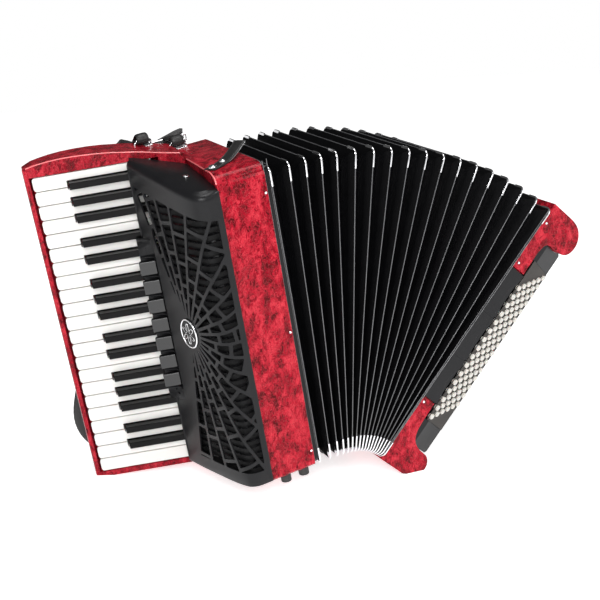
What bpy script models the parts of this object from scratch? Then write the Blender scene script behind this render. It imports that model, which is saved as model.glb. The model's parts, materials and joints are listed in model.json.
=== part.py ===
"""A 37-key piano accordion, standing half opened on the keyboard's lower corner and the bass end's lower lobe.

Millimetre sizes are turned into metres by MM. Three working frames hang under one empty each:
  treble    x towards the bellows, y from the front to the player, z up along the keyboard side
  keyboard  x along a key from its tip, y up the keyboard, z out of the key tops
  bass      x out of the bass end, y from the front to the player, z up along the bass end
"""
import math

import bmesh
import bpy
from mathutils import Matrix, Vector

MM = 0.001
GAP = 0.3                       # clearance kept between pieces that touch

# Treble end
TREBLE_WIDTH = 63.0
DEPTH = 179.0
TREBLE_HEIGHT = 414.0
FRONT_ROUND = 16.0
WALL = 4.0
WALL_SLANT = 12.0 / 177.0       # the outer wall leans towards the bellows as it goes back
BELLOWS_X = 70.0                # plane where the bellows starts
CHAMFER = 5.0                    # along the casing's back edges
MOUTH = 1.5                      # how far the bellows frame stands in from the casing's outline
FOOT_RADIUS = 7.0
FOOT_HEIGHT = 12.0

# Keyboard
WHITE_KEYS = 22
PITCH = 19.0
KEY_GAP = 0.35
KEY_LENGTH = 150.0
KEY_SHOWN = 118.0
KEY_DEPTH = 9.0
BLACK_START = 43.0
BLACK_WIDTH = 10.0
BLACK_TOP_WIDTH = 8.6
BLACK_HEIGHT = 11.0
BLACK_SLOPE = 3.0               # how far the black key's front edge leans back
NOTCH_CLEAR = 0.7
KEY_AXIS = 140.0                # distance from the tip to the fulcrum rod
AXLE_RADIUS = 2.5
AXLE_HEIGHT = -12.0
CREST_SAMPLES = 14               # along the wing's arched top
KEYBOARD_TURN = math.radians(23.8)
KEYBOARD_TIP = (-169.7, 186.6, 3.75)
# Offset of a black key from the line between its two white keys, for each line going down from low F
BLACK_OFFSETS = {0: 3.0, 1: 0.0, 2: -3.0, 4: 2.2, 5: -2.2}
OCTAVE = 7

# Bellows
FOLDS = 17
BELLOWS_LENGTH = 406.0
SECTION_ENDS = (4, 8, 12, 17)
FIRST_ANGLES = (0.0, 1.5, 3.1, 5.0, 7.1)
FAN = 49.6                      # angle between the bass frame and the treble frame
FAN_GROWTH = 0.105
FOLD_PITCH = 3.9
LOOSE_PITCH = 11.5              # extra width at the bottom of the first folds
LOOSE_DECAY = 0.63
PLEAT = 14.0
CLOTH = 3.0
CORNER = 9.0

# Bass end
BASS_HEIGHT = 415.0
BASE_DEPTH = 22.0
STRIP_DEPTH = 5.0
STRIP_OUTER = 23.3
BOARD_INNER = 26.5              # how far out the button board is at its front edge
BOARD_FRONT = 1.0
BOARD_OUTER = 75.0              # and where it meets the outer cover
BOARD_BACK = 22.0
BOARD_WIDTH = math.hypot(BOARD_OUTER - BOARD_INNER, BOARD_BACK - BOARD_FRONT)
BOARD_LOW = 76.0
BOARD_HEIGHT = 262.0
RECESS = 5.0
RECESS_EDGE = 0.9
COVER_LOW = 100.0
COVER_HIGH = 312.0
BUTTON_COLUMNS = 16
BUTTON_ROWS = 6
BUTTON_STEP = 14.1
ROW_STEP = 8.4
ROW_SHIFT = 7.2                 # each row sits this much higher than the one in front of it
BUTTON_FIRST = 7.2
BUTTON_RADIUS = 4.1
ROW_FIRST = 5.6                 # from the board's front edge to the first row
BUTTON_PROUD = 3.4
BUTTON_PLATE = 1.2
BUTTON_PLATE_START = 7.6         # from the board's front edge to the plate
BUTTON_TRAVEL = 2.2

# Straps and the air button
STRAP_WIDTH = 46.0
STRAP_THICK = 7.0
STRAP_SAMPLES = 24
BASS_STRAP_WIDTH = 62.0
BASS_STRAP_THICK = 3.5
BASS_STRAP_ENDS = (58.0, 352.0)  # heights of its two ends
BASS_STRAP_BACK = 122.0          # from the front to its middle line
HAND_GAP = 34.0
AIR_RADIUS = 8.0
AIR_STEM = 2.6
AIR_TRAVEL = 4.0
AIR_PLACE = (58.0, 345.0)
STUD = (12.0, 30.0, 414.0)

LEAN = math.radians(9.85)       # the treble end leans away from the bellows
FLOOR = -31.2                   # height of the floor in the leaned treble frame

RED = ((0.55, 0.01, 0.015), 0.18, 0.0)
BLACK = ((0.02, 0.02, 0.022), 0.4, 0.0)
IVORY = ((0.86, 0.84, 0.78), 0.25, 0.0)
CHROME = ((0.8, 0.8, 0.82), 0.12, 1.0)
LEATHER = ((0.025, 0.024, 0.024), 0.55, 0.0)


def collection(name):
    """A collection of this name in the scene."""
    made = bpy.data.collections.new(name)
    bpy.context.scene.collection.children.link(made)
    return made


def clear_scene():
    """Remove what the scene starts with."""
    for old in list(bpy.data.objects):
        bpy.data.objects.remove(old, do_unlink=True)


clear_scene()
PARTS = collection("piano_accordion")
CUTTERS = collection("cutters")
MATERIALS = {}


def material(name, look):
    """One Principled material for each piece."""
    made = MATERIALS.get(name)
    if made is None:
        colour, roughness, metallic = look
        made = bpy.data.materials.new(name)
        made.use_nodes = True
        shader = made.node_tree.nodes["Principled BSDF"]
        shader.inputs["Base Color"].default_value = (*colour, 1.0)
        shader.inputs["Roughness"].default_value = roughness
        shader.inputs["Metallic"].default_value = metallic
        made.diffuse_color = (*colour, 1.0)
        MATERIALS[name] = made
    return made


def empty(name, parent, matrix):
    """A frame that pieces hang under."""
    made = bpy.data.objects.new(name, None)
    PARTS.objects.link(made)
    made.parent = parent
    made.matrix_local = matrix
    return made


def turn_y(angle, x=0.0, z=0.0):
    """A frame at (x, 0, z) millimetres, its top tipped towards +x by the angle."""
    return Matrix.Translation(Vector((x, 0.0, z)) * MM) @ Matrix.Rotation(angle, 4, "Y")


def mesh_of(source):
    """Turn a curve or a piece with modifiers into a plain mesh with welded caps."""
    bpy.context.view_layer.update()
    graph = bpy.context.evaluated_depsgraph_get()
    mesh = bpy.data.meshes.new_from_object(source.evaluated_get(graph))
    bm = bmesh.new()
    bm.from_mesh(mesh)
    bmesh.ops.remove_doubles(bm, verts=bm.verts, dist=1e-6)
    bmesh.ops.recalc_face_normals(bm, faces=bm.faces)
    bm.to_mesh(mesh)
    bm.free()
    return mesh


def flat(points, low, high, upright=False):
    """Mesh of a flat outline, in millimetres, extruded along z from low to high (or along y when upright)."""
    curve = bpy.data.curves.new("outline", "CURVE")
    curve.dimensions = "2D"
    curve.fill_mode = "BOTH"
    curve.extrude = (high - low) / 2 * MM
    spline = curve.splines.new("POLY")
    spline.points.add(len(points) - 1)
    for point, (x, y) in zip(spline.points, points):
        point.co = (x * MM, y * MM, 0.0, 1.0)
    spline.use_cyclic_u = True
    guide = bpy.data.objects.new("outline", curve)
    CUTTERS.objects.link(guide)
    mesh = mesh_of(guide)
    bpy.data.objects.remove(guide, do_unlink=True)
    middle = (low + high) / 2 * MM
    if upright:
        mesh.transform(Matrix.Translation((0.0, middle, 0.0)) @ Matrix.Rotation(math.pi / 2, 4, "X"))
    else:
        mesh.transform(Matrix.Translation((0.0, 0.0, middle)))
    return mesh


def box(low, high):
    """Mesh of a box between two corners in millimetres."""
    bm = bmesh.new()
    bmesh.ops.create_cube(bm, size=1.0)
    size = [b - a for a, b in zip(low, high)]
    centre = [(a + b) / 2 for a, b in zip(low, high)]
    bmesh.ops.scale(bm, vec=Vector(size) * MM, verts=bm.verts)
    bmesh.ops.translate(bm, vec=Vector(centre) * MM, verts=bm.verts)
    mesh = bpy.data.meshes.new("box")
    bm.to_mesh(mesh)
    bm.free()
    return mesh


def cylinder(radius, low, high, centre=(0.0, 0.0), segments=16):
    """Mesh of a cylinder along z, in millimetres."""
    bm = bmesh.new()
    bmesh.ops.create_cone(bm, cap_ends=True, segments=segments, radius1=radius * MM, radius2=radius * MM,
                          depth=(high - low) * MM)
    bmesh.ops.translate(bm, vec=Vector((centre[0], centre[1], (low + high) / 2)) * MM, verts=bm.verts)
    mesh = bpy.data.meshes.new("cylinder")
    bm.to_mesh(mesh)
    bm.free()
    return mesh


def cut_plane(mesh, point, normal):
    """Keep the side of a convex mesh that lies behind a plane, and close the cut."""
    bm = bmesh.new()
    bm.from_mesh(mesh)
    cut = bmesh.ops.bisect_plane(bm, geom=bm.verts[:] + bm.edges[:] + bm.faces[:], dist=1e-7,
                                 plane_co=Vector(point) * MM, plane_no=normal, clear_outer=True)
    rim = [item for item in cut["geom_cut"] if isinstance(item, bmesh.types.BMEdge)]
    bmesh.ops.holes_fill(bm, edges=rim, sides=0)
    bmesh.ops.recalc_face_normals(bm, faces=bm.faces)
    bm.to_mesh(mesh)
    bm.free()
    return mesh


def combine(mesh, other, operation="DIFFERENCE"):
    """Boolean of two meshes that share one frame."""
    base = bpy.data.objects.new("base", mesh)
    tool = bpy.data.objects.new("tool", other)
    for item in (base, tool):
        CUTTERS.objects.link(item)
    step = base.modifiers.new("step", "BOOLEAN")
    step.operation = operation
    step.object = tool
    result = mesh_of(base)
    for item in (base, tool):
        bpy.data.objects.remove(item, do_unlink=True)
    return result


def piece(name, mesh, look, parent, matrix=Matrix.Identity(4), rounding=0.0, smooth=30.0):
    """Add a named piece under a frame, with an optional bevel in millimetres."""
    made = bpy.data.objects.new(name, mesh)
    PARTS.objects.link(made)
    made.parent = parent
    made.matrix_local = matrix
    mesh.materials.clear()
    mesh.materials.append(material(name.rstrip("0123456789").rstrip("_"), look))
    if rounding:
        bevel = made.modifiers.new("round", "BEVEL")
        bevel.width = rounding * MM
        bevel.segments = 1
        bevel.limit_method = "ANGLE"
        bevel.angle_limit = math.radians(50)
    mesh.shade_smooth()
    mesh.set_sharp_from_angle(angle=math.radians(smooth))
    return made


def arc(centre, radius, start, end, steps=4):
    """Points of an arc, angles in degrees."""
    return [(centre[0] + radius * math.cos(math.radians(start + (end - start) * i / steps)),
             centre[1] + radius * math.sin(math.radians(start + (end - start) * i / steps)))
            for i in range(steps + 1)]


def smooth_route(points, count):
    """Samples of a Catmull-Rom curve through the route's points."""
    ends = [2 * points[0] - points[1]] + points + [2 * points[-1] - points[-2]]
    samples = []
    for step in range(count + 1):
        place = step / count * (len(points) - 1)
        span = min(int(place), len(points) - 2)
        t = place - span
        a, b, c, d = ends[span:span + 4]
        samples.append(0.5 * (2 * b + (c - a) * t + (2 * a - 5 * b + 4 * c - d) * t * t
                              + (3 * b - a - 3 * c + d) * t ** 3))
    return samples


def key_plan(along, out):
    """Treble-frame x, y of a point given along a key and out of its top."""
    cos, sin = math.cos(KEYBOARD_TURN), math.sin(KEYBOARD_TURN)
    return (KEYBOARD_TIP[0] + along * cos - out * sin, KEYBOARD_TIP[1] - along * sin - out * cos)


def keyboard_frame():
    """x along a key, y up, z out of the key tops."""
    cos, sin = math.cos(KEYBOARD_TURN), math.sin(KEYBOARD_TURN)
    frame = Matrix(((cos, 0, -sin, 0), (-sin, 0, -cos, 0), (0, 1, 0, 0), (0, 0, 0, 1)))
    frame.translation = Vector(KEYBOARD_TIP) * MM
    return frame


# ---------------------------------------------------------------- treble end

def treble_casing(treble):
    """Hollow red box, open towards the bellows, with the black bellows frame around its mouth."""
    corner = arc((FRONT_ROUND, TREBLE_HEIGHT - FRONT_ROUND), FRONT_ROUND, 180, 90, 5)
    side = [(0.0, WALL)] + corner + [(DEPTH - CHAMFER, TREBLE_HEIGHT), (DEPTH, TREBLE_HEIGHT - CHAMFER),
                                     (DEPTH, CHAMFER), (DEPTH - CHAMFER, 0.0), (WALL, 0.0)]
    # outline in (y, z), extruded along x
    to_side = Matrix(((0, 0, 1, 0), (1, 0, 0, 0), (0, 1, 0, 0), (0, 0, 0, 1)))
    body = flat(side, 0.0, TREBLE_WIDTH)
    body.transform(to_side)
    body = cut_plane(body, (0, 0, 0), (-1.0, WALL_SLANT, 0.0))
    frame = box((TREBLE_WIDTH - 1, MOUTH, MOUTH), (BELLOWS_X - GAP, DEPTH - MOUTH, TREBLE_HEIGHT - CHAMFER))
    body = combine(body, frame, "UNION")
    for x in (24.0, TREBLE_WIDTH - 13.0):
        for y in (13.0, DEPTH - 13.0):
            body = combine(body, cylinder(FOOT_RADIUS, -FOOT_HEIGHT, 2.0, (x, y), 12), "UNION")
    inside = box((WALL + WALL_SLANT * DEPTH, WALL + 2, WALL + 2),
                 (BELLOWS_X + 10, DEPTH - WALL - 2, TREBLE_HEIGHT - WALL - CHAMFER))
    return piece("treble_casing", combine(body, inside), RED, treble)


def wing_top_cutter():
    """Solid above the wing's gently arched top."""
    crest = [Vector(point) for point in ((-173.5, 434.9), (-157, 438.4), (-127, 440.5), (-86, 438.6),
                                         (-45, 432.4), (-12, 425.2), (30, 416.5))]
    top = [(-230, 600), (-230, 380), (-181.5, 424)] + arc((-172, 426), 9.0, 170, 120, 2)
    top += [tuple(point) for point in smooth_route(crest, CREST_SAMPLES)] + [(30, 600)]
    return flat(top, 60, 260, upright=True)


def keyboard_wing(treble):
    """Red wing with cheeks, tip lip and a bed for the keys, cut to stand on its lower corner."""
    wall = [(WALL_SLANT * y - GAP, y) for y in (109.5, 181.0)]
    back = [(-18.0, 193.0), (-70.0, 203.0), (-120.0, 209.0), (-160.0, 211.0), (-174.0, 206.0)]
    tip = [key_plan(-9.5, -9.0), key_plan(-9.5, -2.0), key_plan(-8.0, 0.6)]
    plan = tip + [key_plan(192.0, 0.6)] + wall + back
    body = flat(plan, -4.5, 445.0)
    body = combine(body, wing_top_cutter())
    bed = [key_plan(-3.0, -16.0), key_plan(160.0, -16.0), key_plan(160.0, 5.0), key_plan(-3.0, 5.0)]
    low = KEYBOARD_TIP[2] - 0.5
    high = KEYBOARD_TIP[2] + WHITE_KEYS * PITCH + 0.5
    body = combine(body, flat(bed[::-1], low, high))
    body = cut_to_floor(body, treble)
    return piece("keyboard_wing", body, RED, treble)


def cut_to_floor(mesh, frame):
    """Trim whatever would reach below the floor, so the piece gets a flat facet to stand on."""
    to_world = frame.matrix_world
    mesh.transform(to_world)
    mesh = combine(mesh, box((-600, -200, -200), (800, 400, 0)))
    mesh.transform(to_world.inverted())
    return mesh


def black_after(line):
    """Offset of the black key on the line under white key number line, or None."""
    return BLACK_OFFSETS.get(line % OCTAVE)


def white_outline(index):
    """Outline of one white key, along x and up y from the bottom of its own pitch."""
    low, high = KEY_GAP / 2, PITCH - KEY_GAP / 2
    deep = BLACK_START - NOTCH_CLEAR
    half = BLACK_WIDTH / 2 + NOTCH_CLEAR
    above = black_after(index - 1) if index else None
    below = black_after(index) if index < WHITE_KEYS - 1 else None
    points = [(2.5, high), (0.6, high - 1.6), (0.0, high - 4.5), (0.0, low + 4.5), (0.6, low + 1.6), (2.5, low)]
    if below is None:
        points += [(KEY_LENGTH, low)]
    else:
        edge = half + below
        points += [(deep, low), (deep, edge), (KEY_LENGTH, edge)]
    if above is None:
        points += [(KEY_LENGTH, high)]
    else:
        edge = PITCH - half + above
        points += [(KEY_LENGTH, edge), (deep, edge), (deep, high)]
    return points


def keys(keyboard):
    """All white and black keys, each with its origin on the fulcrum rod."""
    axis = Vector((KEY_AXIS, 0.0, AXLE_HEIGHT)) * MM
    for index in range(WHITE_KEYS):
        foot = (WHITE_KEYS - 1 - index) * PITCH
        mesh = flat(white_outline(index), -KEY_DEPTH, 0.0)
        mesh.transform(Matrix.Translation(-axis))
        place = Matrix.Translation(axis + Vector((0.0, foot, 0.0)) * MM)
        piece(f"white_key_{index + 1:02d}", mesh, IVORY, keyboard, place, rounding=0.5)
    number = 0
    for line in range(WHITE_KEYS - 1):
        offset = black_after(line)
        if offset is None:
            continue
        number += 1
        centre = (WHITE_KEYS - 1 - line) * PITCH + offset
        place = Matrix.Translation(axis + Vector((0.0, centre, 0.0)) * MM)
        mesh = black_key_mesh()
        mesh.transform(Matrix.Translation(-axis))
        piece(f"black_key_{number:02d}", mesh, BLACK, keyboard, place, rounding=0.6)


def black_key_mesh():
    """A black key: a box whose top is narrower and whose front leans back."""
    mesh = box((BLACK_START, -BLACK_WIDTH / 2, -KEY_DEPTH), (KEY_LENGTH, BLACK_WIDTH / 2, BLACK_HEIGHT))
    for vertex in mesh.vertices:
        if vertex.co.z > 0:
            vertex.co.y *= BLACK_TOP_WIDTH / BLACK_WIDTH
            if vertex.co.x < (BLACK_START + 1) * MM:
                vertex.co.x += BLACK_SLOPE * MM
    return mesh


def key_axle(keyboard):
    """The fulcrum rod that all keys rock on, in the bed under them."""
    rod = cylinder(AXLE_RADIUS, -0.2, WHITE_KEYS * PITCH + 0.2, segments=12)
    turned = Matrix.Translation(Vector((KEY_AXIS, 0, AXLE_HEIGHT)) * MM) @ Matrix.Rotation(-math.pi / 2, 4, "X")
    return piece("key_axle", rod, CHROME, keyboard, turned)


COVER_SHELL = 2.5
SWITCHES = 7
SWITCH_PITCH = 26.2
SWITCH_FIRST = 130.0            # height of the lowest register switch's middle
SWITCH_HEIGHT = 19.0
SWITCH_OUT = 15.6
SWITCH_THICK = 6.5
SWITCH_AXIS = 131.0
SWITCH_LENGTH = 20.0             # from the hinge to the pressed edge
SWITCH_HEEL = 2.5                # behind the hinge
LEDGE_END = 18.0                 # ledge left beyond the last switch's middle
LEDGE_OUT = 14.4
LEDGE_BACK = 135.0


def cover_plan(inset):
    """Plan outline of the grille cover in the treble frame, or the same outline moved inwards."""
    k = key_plan(KEY_SHOWN, 8.0)
    face = [(k[0] + inset, k[1] + inset * 0.2), (-58 + inset, 96), (-50 + inset, 62), (-42 + inset, 30),
            (-34.5 + inset, 8 + inset * 0.4), (-28 + inset * 0.7, -1 + inset), (-18, -5 + inset)]
    if inset:
        return face + [(20, -5 + inset), key_plan(204, -8), key_plan(KEY_SHOWN + inset, -8)]
    wall = [(WALL_SLANT * y - GAP, y) for y in (-5.0, 106.0)]
    return face + wall + [key_plan(192, 1.2), key_plan(KEY_SHOWN, 1.2)]


def cover_solid(inset):
    """The cover's outer solid, or the hollow inside it."""
    solid = flat(cover_plan(inset)[::-1], 4.0 + inset, 460.0)
    for slope in ((0.303, -0.0895, 1.0), (-0.09, -0.273, 1.0)):
        solid = cut_plane(solid, (-2, 0, 401 - inset), slope)
    return solid


def grille_cover(treble, keyboard):
    """Black shell over the key levers, with a ledge for the register switches and sunburst openings."""
    to_treble = keyboard.matrix_local
    middle = SWITCH_FIRST - KEYBOARD_TIP[2]
    ledge_low = middle - LEDGE_END
    ledge_high = middle + SWITCH_PITCH * (SWITCHES - 1) + LEDGE_END

    def ledge(margin):
        mesh = box((KEY_SHOWN - 20, ledge_low - margin, LEDGE_OUT - margin),
                   (LEDGE_BACK + margin, ledge_high + margin, 60))
        mesh.transform(to_treble)
        return mesh

    shell = combine(cover_solid(0.0), ledge(0.0))
    hollow = combine(cover_solid(COVER_SHELL), ledge(COVER_SHELL))
    shell = combine(shell, hollow)
    slot = box((KEY_SHOWN - 8, -1.5, -2.0), (KEY_SHOWN + 12, WHITE_KEYS * PITCH + 1.5, 11.9))
    slot.transform(to_treble)
    shell = combine(shell, slot)
    for mesh in grille_slots(to_treble):
        shell = combine(shell, mesh)
    return piece("grille_cover", shell, BLACK, treble)


def grille_slots(to_treble):
    """Wedge-shaped cutters that fan out from the middle of the cover's side."""
    hub = Vector((-46.0, 62.0, 209.0))
    up = Vector((0.0, 0.0, 1.0))
    across = Vector((0.27, -0.963, 0.0))
    out = across.cross(up)
    frame = Matrix((
        (across.x, up.x, out.x, hub.x * MM), (across.y, up.y, out.y, hub.y * MM),
        (across.z, up.z, out.z, hub.z * MM), (0, 0, 0, 1)))
    for low_angle, high_angle, start, end in ((57, 65, 60, 150), (70, 80, 60, 160), (85, 95, 50, 160),
                                              (100, 108, 50, 150), (237, 247, 60, 150), (252, 262, 60, 165),
                                              (267, 277, 50, 170), (282, 292, 50, 170)):
        wedge = arc((0, 0), start, low_angle, high_angle, 1) + arc((0, 0), end, high_angle, low_angle, 1)
        mesh = flat(wedge, -14.0, 22.0)
        mesh.transform(frame)
        yield mesh


def register_switches(keyboard):
    """Seven rockers on the ledge, each hinged along its inner edge."""
    for index in range(SWITCHES):
        height = SWITCH_FIRST - KEYBOARD_TIP[2] + SWITCH_PITCH * (SWITCHES - 1 - index)
        axis = Vector((SWITCH_AXIS, height, SWITCH_OUT + SWITCH_THICK / 2)) * MM
        mesh = box((-SWITCH_LENGTH, -SWITCH_HEIGHT / 2, -SWITCH_THICK / 2),
                   (SWITCH_HEEL, SWITCH_HEIGHT / 2, SWITCH_THICK / 2))
        piece(f"register_switch_{index + 1}", mesh, BLACK, keyboard, Matrix.Translation(axis), rounding=1.2)


# ---------------------------------------------------------------- bellows

def fold_frames():
    """Angle and lower front point of each fold's plane, in the treble frame."""
    angles = list(FIRST_ANGLES)
    rest = FOLDS - len(FIRST_ANGLES) + 1
    mean = (FAN - FIRST_ANGLES[-1]) / rest
    for step in range(rest):
        share = 2 * (step + 0.5) / rest - 1
        angles.append(angles[-1] + mean * (1 + FAN_GROWTH * share))
    frames = [(0.0, BELLOWS_X, -0.5)]
    for fold in range(FOLDS):
        _, x, z = frames[-1]
        middle = math.radians((angles[fold] + angles[fold + 1]) / 2)
        pitch = FOLD_PITCH + LOOSE_PITCH * LOOSE_DECAY ** fold
        frames.append((math.radians(angles[fold + 1]), x + pitch * math.cos(middle), z - pitch * math.sin(middle)))
    return frames


def ring(angle, x, z, inset, shift=0.0):
    """Eight corners of one fold line: a rectangle with cut corners in a tipped plane."""
    low, high, front, back = inset, BELLOWS_LENGTH - inset, inset, DEPTH - inset
    c = CORNER
    loop = [(low + c, front), (high - c, front), (high, front + c), (high, back - c),
            (high - c, back), (low + c, back), (low, back - c), (low, front + c)]
    return [Vector((x + shift * math.cos(angle) + along * math.sin(angle), y,
                    z - shift * math.sin(angle) + along * math.cos(angle))) * MM for along, y in loop]


def bellows_section(name, frames, first, last, parent, matrix):
    """A tube of pleats between two fold planes, its wall following the zigzag inside and out."""
    def zigzag(inset):
        loops = []
        for fold in range(first, last):
            shift = GAP / 2 if fold == first else 0.0
            loops.append(ring(*frames[fold], inset, shift))
            angle, x, z = (sum(pair) / 2 for pair in zip(frames[fold], frames[fold + 1]))
            loops.append(ring(angle, x, z, inset + PLEAT))
        loops.append(ring(*frames[last], inset, -GAP / 2))
        return loops

    outside, inside = zigzag(0.0), zigzag(CLOTH)[::-1]
    bm = bmesh.new()
    made = [[bm.verts.new(point) for point in loop] for loop in outside + inside]
    for step, (here, after) in enumerate(zip(made, made[1:] + made[:1])):
        for i in range(len(here)):
            j = (i + 1) % len(here)
            # the twisted faces are split so that the wall's two sides crease along the same diagonal
            if step < len(outside):
                bm.faces.new((here[i], here[j], after[j]))
                bm.faces.new((here[i], after[j], after[i]))
            else:
                bm.faces.new((here[i], here[j], after[i]))
                bm.faces.new((here[j], after[j], after[i]))
    bmesh.ops.recalc_face_normals(bm, faces=bm.faces)
    mesh = bpy.data.meshes.new(name)
    bm.to_mesh(mesh)
    bm.free()
    mesh.transform(matrix.inverted())
    return piece(name, mesh, BLACK, parent, matrix)


def bellows(treble):
    """Four sections, each with its origin at the lower edge of its far plane, where it turns."""
    frames = fold_frames()
    first = 0
    for number, last in enumerate(SECTION_ENDS, 1):
        angle, x, z = frames[last]
        bellows_section(f"bellows_section_{number}", frames, first, last, treble, turn_y(angle, x, z))
        first = last
    return frames[-1]


# ---------------------------------------------------------------- bass end

def bass_profile():
    """Outline of the bass casing seen from the front: out of the bass end, and up."""
    top = [(GAP, BASS_HEIGHT), (40, BASS_HEIGHT), (50, 413.8), (59, 410.3), (66, 404), (70.8, 396), (72.2, 387.5),
           (70.6, 378.5), (65.5, 371.5), (57.5, 368), (48, 367.3), (39, 367.2), (31.5, 366), (26.8, 362.2),
           (24.2, 355.5), (23.4, 346), (23.4, 334), (23.6, 322), (24, COVER_HIGH), (BASE_DEPTH, COVER_HIGH)]
    bottom = [(BASE_DEPTH, COVER_LOW), (22.6, 76), (23.4, 62), (26, 51), (30.5, 44), (37, 39.4), (45, 36.8),
              (52, 36.2)] + arc((55.5, 19.5), 16.5, 75, -75, 7) + [(44, -3.0), (GAP, -3.0)]
    return top + bottom


def bass_casing(bass):
    """Red end of the instrument: a base along the bellows with a lobe at each end."""
    body = flat(bass_profile()[::-1], 0.0, DEPTH, upright=True)
    body = combine(body, box((-5, -5, COVER_LOW - 1), (60, 5, 313)))
    inside = box((-5, 10, 12), (14, DEPTH - 10, BASS_HEIGHT - 12))
    body = combine(body, inside)
    body = cut_to_floor(body, bass)
    return piece("bass_casing", body, RED, bass)


def board_frame():
    """Frame of the button board: x across it from the front, y up the bass end, z out of the board."""
    across = Vector((BOARD_OUTER - BOARD_INNER, BOARD_BACK - BOARD_FRONT, 0.0)).normalized()
    up = Vector((0.0, 0.0, 1.0))
    out = across.cross(up)
    start = Vector((BOARD_INNER, BOARD_FRONT, BOARD_LOW)) * MM
    return Matrix(((across.x, up.x, out.x, start.x), (across.y, up.y, out.y, start.y),
                   (across.z, up.z, out.z, start.z), (0, 0, 0, 1)))


def cover_profile():
    """Outline of the black cover seen from the front, fitting between the two red lobes."""
    upper = [(24.1, 322), (23.9, 334), (23.9, 346), (24.8, 355.1), (27.3, 361.5), (31.8, 365.2), (39.1, 366.6),
             (48, 366.7), (57.6, 367.3), (65.9, 370.5), (70, 372), (BOARD_OUTER, 369)]
    lower = [(BOARD_OUTER, 41), (BOARD_OUTER - 3, 37.4), (52, 36.9), (45.2, 37.5), (37.4, 40.0), (31.0, 44.5),
             (26.6, 51.3), (24.0, 62.2), (23.2, 76), (22.9, COVER_LOW + GAP)]
    return upper + lower + [(BASE_DEPTH + GAP, COVER_LOW + GAP), (BASE_DEPTH + GAP, COVER_HIGH - GAP),
                            (24.5, COVER_HIGH - GAP)]


def bass_cover(bass):
    """Black housing between the lobes: front strip, slanted button board and flat outer cover."""
    body = flat(cover_profile(), STRIP_DEPTH - 2 * GAP, DEPTH, upright=True)
    frame = board_frame()
    front = box((-200, -300, 0.0), (BOARD_WIDTH + 0.01, 500, 300))
    front.transform(frame)
    body = combine(body, front)
    strip = box((GAP, GAP, COVER_LOW + 2 * GAP), (STRIP_OUTER, STRIP_DEPTH - GAP, COVER_HIGH - 2 * GAP))
    body = combine(body, strip, "UNION")
    recess = box((RECESS_EDGE, 0.0, -RECESS), (BOARD_WIDTH - RECESS_EDGE, BOARD_HEIGHT, 10.0))
    recess.transform(frame)
    body = combine(body, recess)
    hollow = box((BASE_DEPTH - 5, 48.0, 56.0), (BOARD_OUTER - 4.0, DEPTH - 6.0, 350.0))
    body = combine(body, hollow)
    bore = cylinder(AIR_STEM + 2 * GAP, -20.0, 10.0, segments=16)
    place = Matrix.Translation(Vector((BOARD_OUTER, *AIR_PLACE)) * MM) @ Matrix.Rotation(math.pi / 2, 4, "Y")
    bore.transform(place)
    body = combine(body, bore)
    return piece("bass_cover", body, BLACK, bass)


def bass_buttons(bass):
    """The button set: 16 slanting columns of 6 on one carrier plate that sinks into the board's recess."""
    frame = board_frame()
    floor = -RECESS + BUTTON_TRAVEL + GAP
    plate = box((BUTTON_PLATE_START, 0.5, floor),
                (BOARD_WIDTH - RECESS_EDGE - 1.0, BOARD_HEIGHT - 0.5, floor + BUTTON_PLATE))
    for column in range(BUTTON_COLUMNS):
        for row in range(BUTTON_ROWS):
            x = ROW_FIRST + row * ROW_STEP
            y = BUTTON_FIRST + column * BUTTON_STEP + row * ROW_SHIFT
            button = cylinder(BUTTON_RADIUS, floor + 0.4, BUTTON_PROUD, (x, y), 8)
            plate = combine(plate, button, "UNION")
    plate.transform(frame)
    return piece("bass_button_set", plate, IVORY, bass)


# ---------------------------------------------------------------- straps and the air button
def ribbon(name, route, facing, width, thickness, parent, look=LEATHER):
    """A strap: an open strip along a route, facing a given way, made solid."""
    points = smooth_route([Vector(point) for point in route], STRAP_SAMPLES)
    bm = bmesh.new()
    rows = []
    for i, point in enumerate(points):
        along = (points[min(i + 1, len(points) - 1)] - points[max(i - 1, 0)]).normalized()
        side = along.cross(Vector(facing)).normalized() * width / 2
        rows.append([bm.verts.new((point + side * share) * MM) for share in (-1.0, 1.0)])
    for here, after in zip(rows, rows[1:]):
        bm.faces.new((here[0], here[1], after[1], after[0]))
    mesh = bpy.data.meshes.new(name)
    bm.to_mesh(mesh)
    bm.free()
    made = piece(name, mesh, look, parent)
    solid = made.modifiers.new("thickness", "SOLIDIFY")
    solid.thickness = thickness * MM
    solid.offset = 0.0
    solid.use_even_offset = True
    return made


def shoulder_straps(treble):
    """Two leather straps that hang slack behind the treble end, each from a top bracket to a bottom one."""
    inner = [(20, 196, 425), (26, 214, 398), (34, 226, 320), (38, 230, 210), (36, 222, 110), (30, 200, 42),
             (28, 188, 26)]
    outer = [(-22, 205, 424), (-36, 224, 398), (-66, 236, 318), (-102, 240, 214), (-140, 234, 120),
             (-158, 229, 66), (-136, 224, 30), (-86, 218, 20), (-40, 206, 20)]
    ribbon("shoulder_strap_1", outer, (0, 1, 0), STRAP_WIDTH, STRAP_THICK, treble)
    ribbon("shoulder_strap_2", inner, (0, 1, 0), STRAP_WIDTH, STRAP_THICK, treble)


def bass_strap(bass):
    """Hand strap bowed over the bass end's outer face, leaving room for the hand."""
    face = BOARD_OUTER + GAP + BASS_STRAP_THICK / 2 + 0.2
    low, high = BASS_STRAP_ENDS
    y = BASS_STRAP_BACK
    route = [(face, y, high), (face + 4, y, high - 22), (face + 24, y, high - 75),
             (face + HAND_GAP, y, (high + low) / 2),
             (face + 24, y, low + 75), (face + 4, y, low + 22), (face, y, low)]
    return ribbon("bass_strap", route, (1, 0, 0), BASS_STRAP_WIDTH, BASS_STRAP_THICK, bass)


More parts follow.
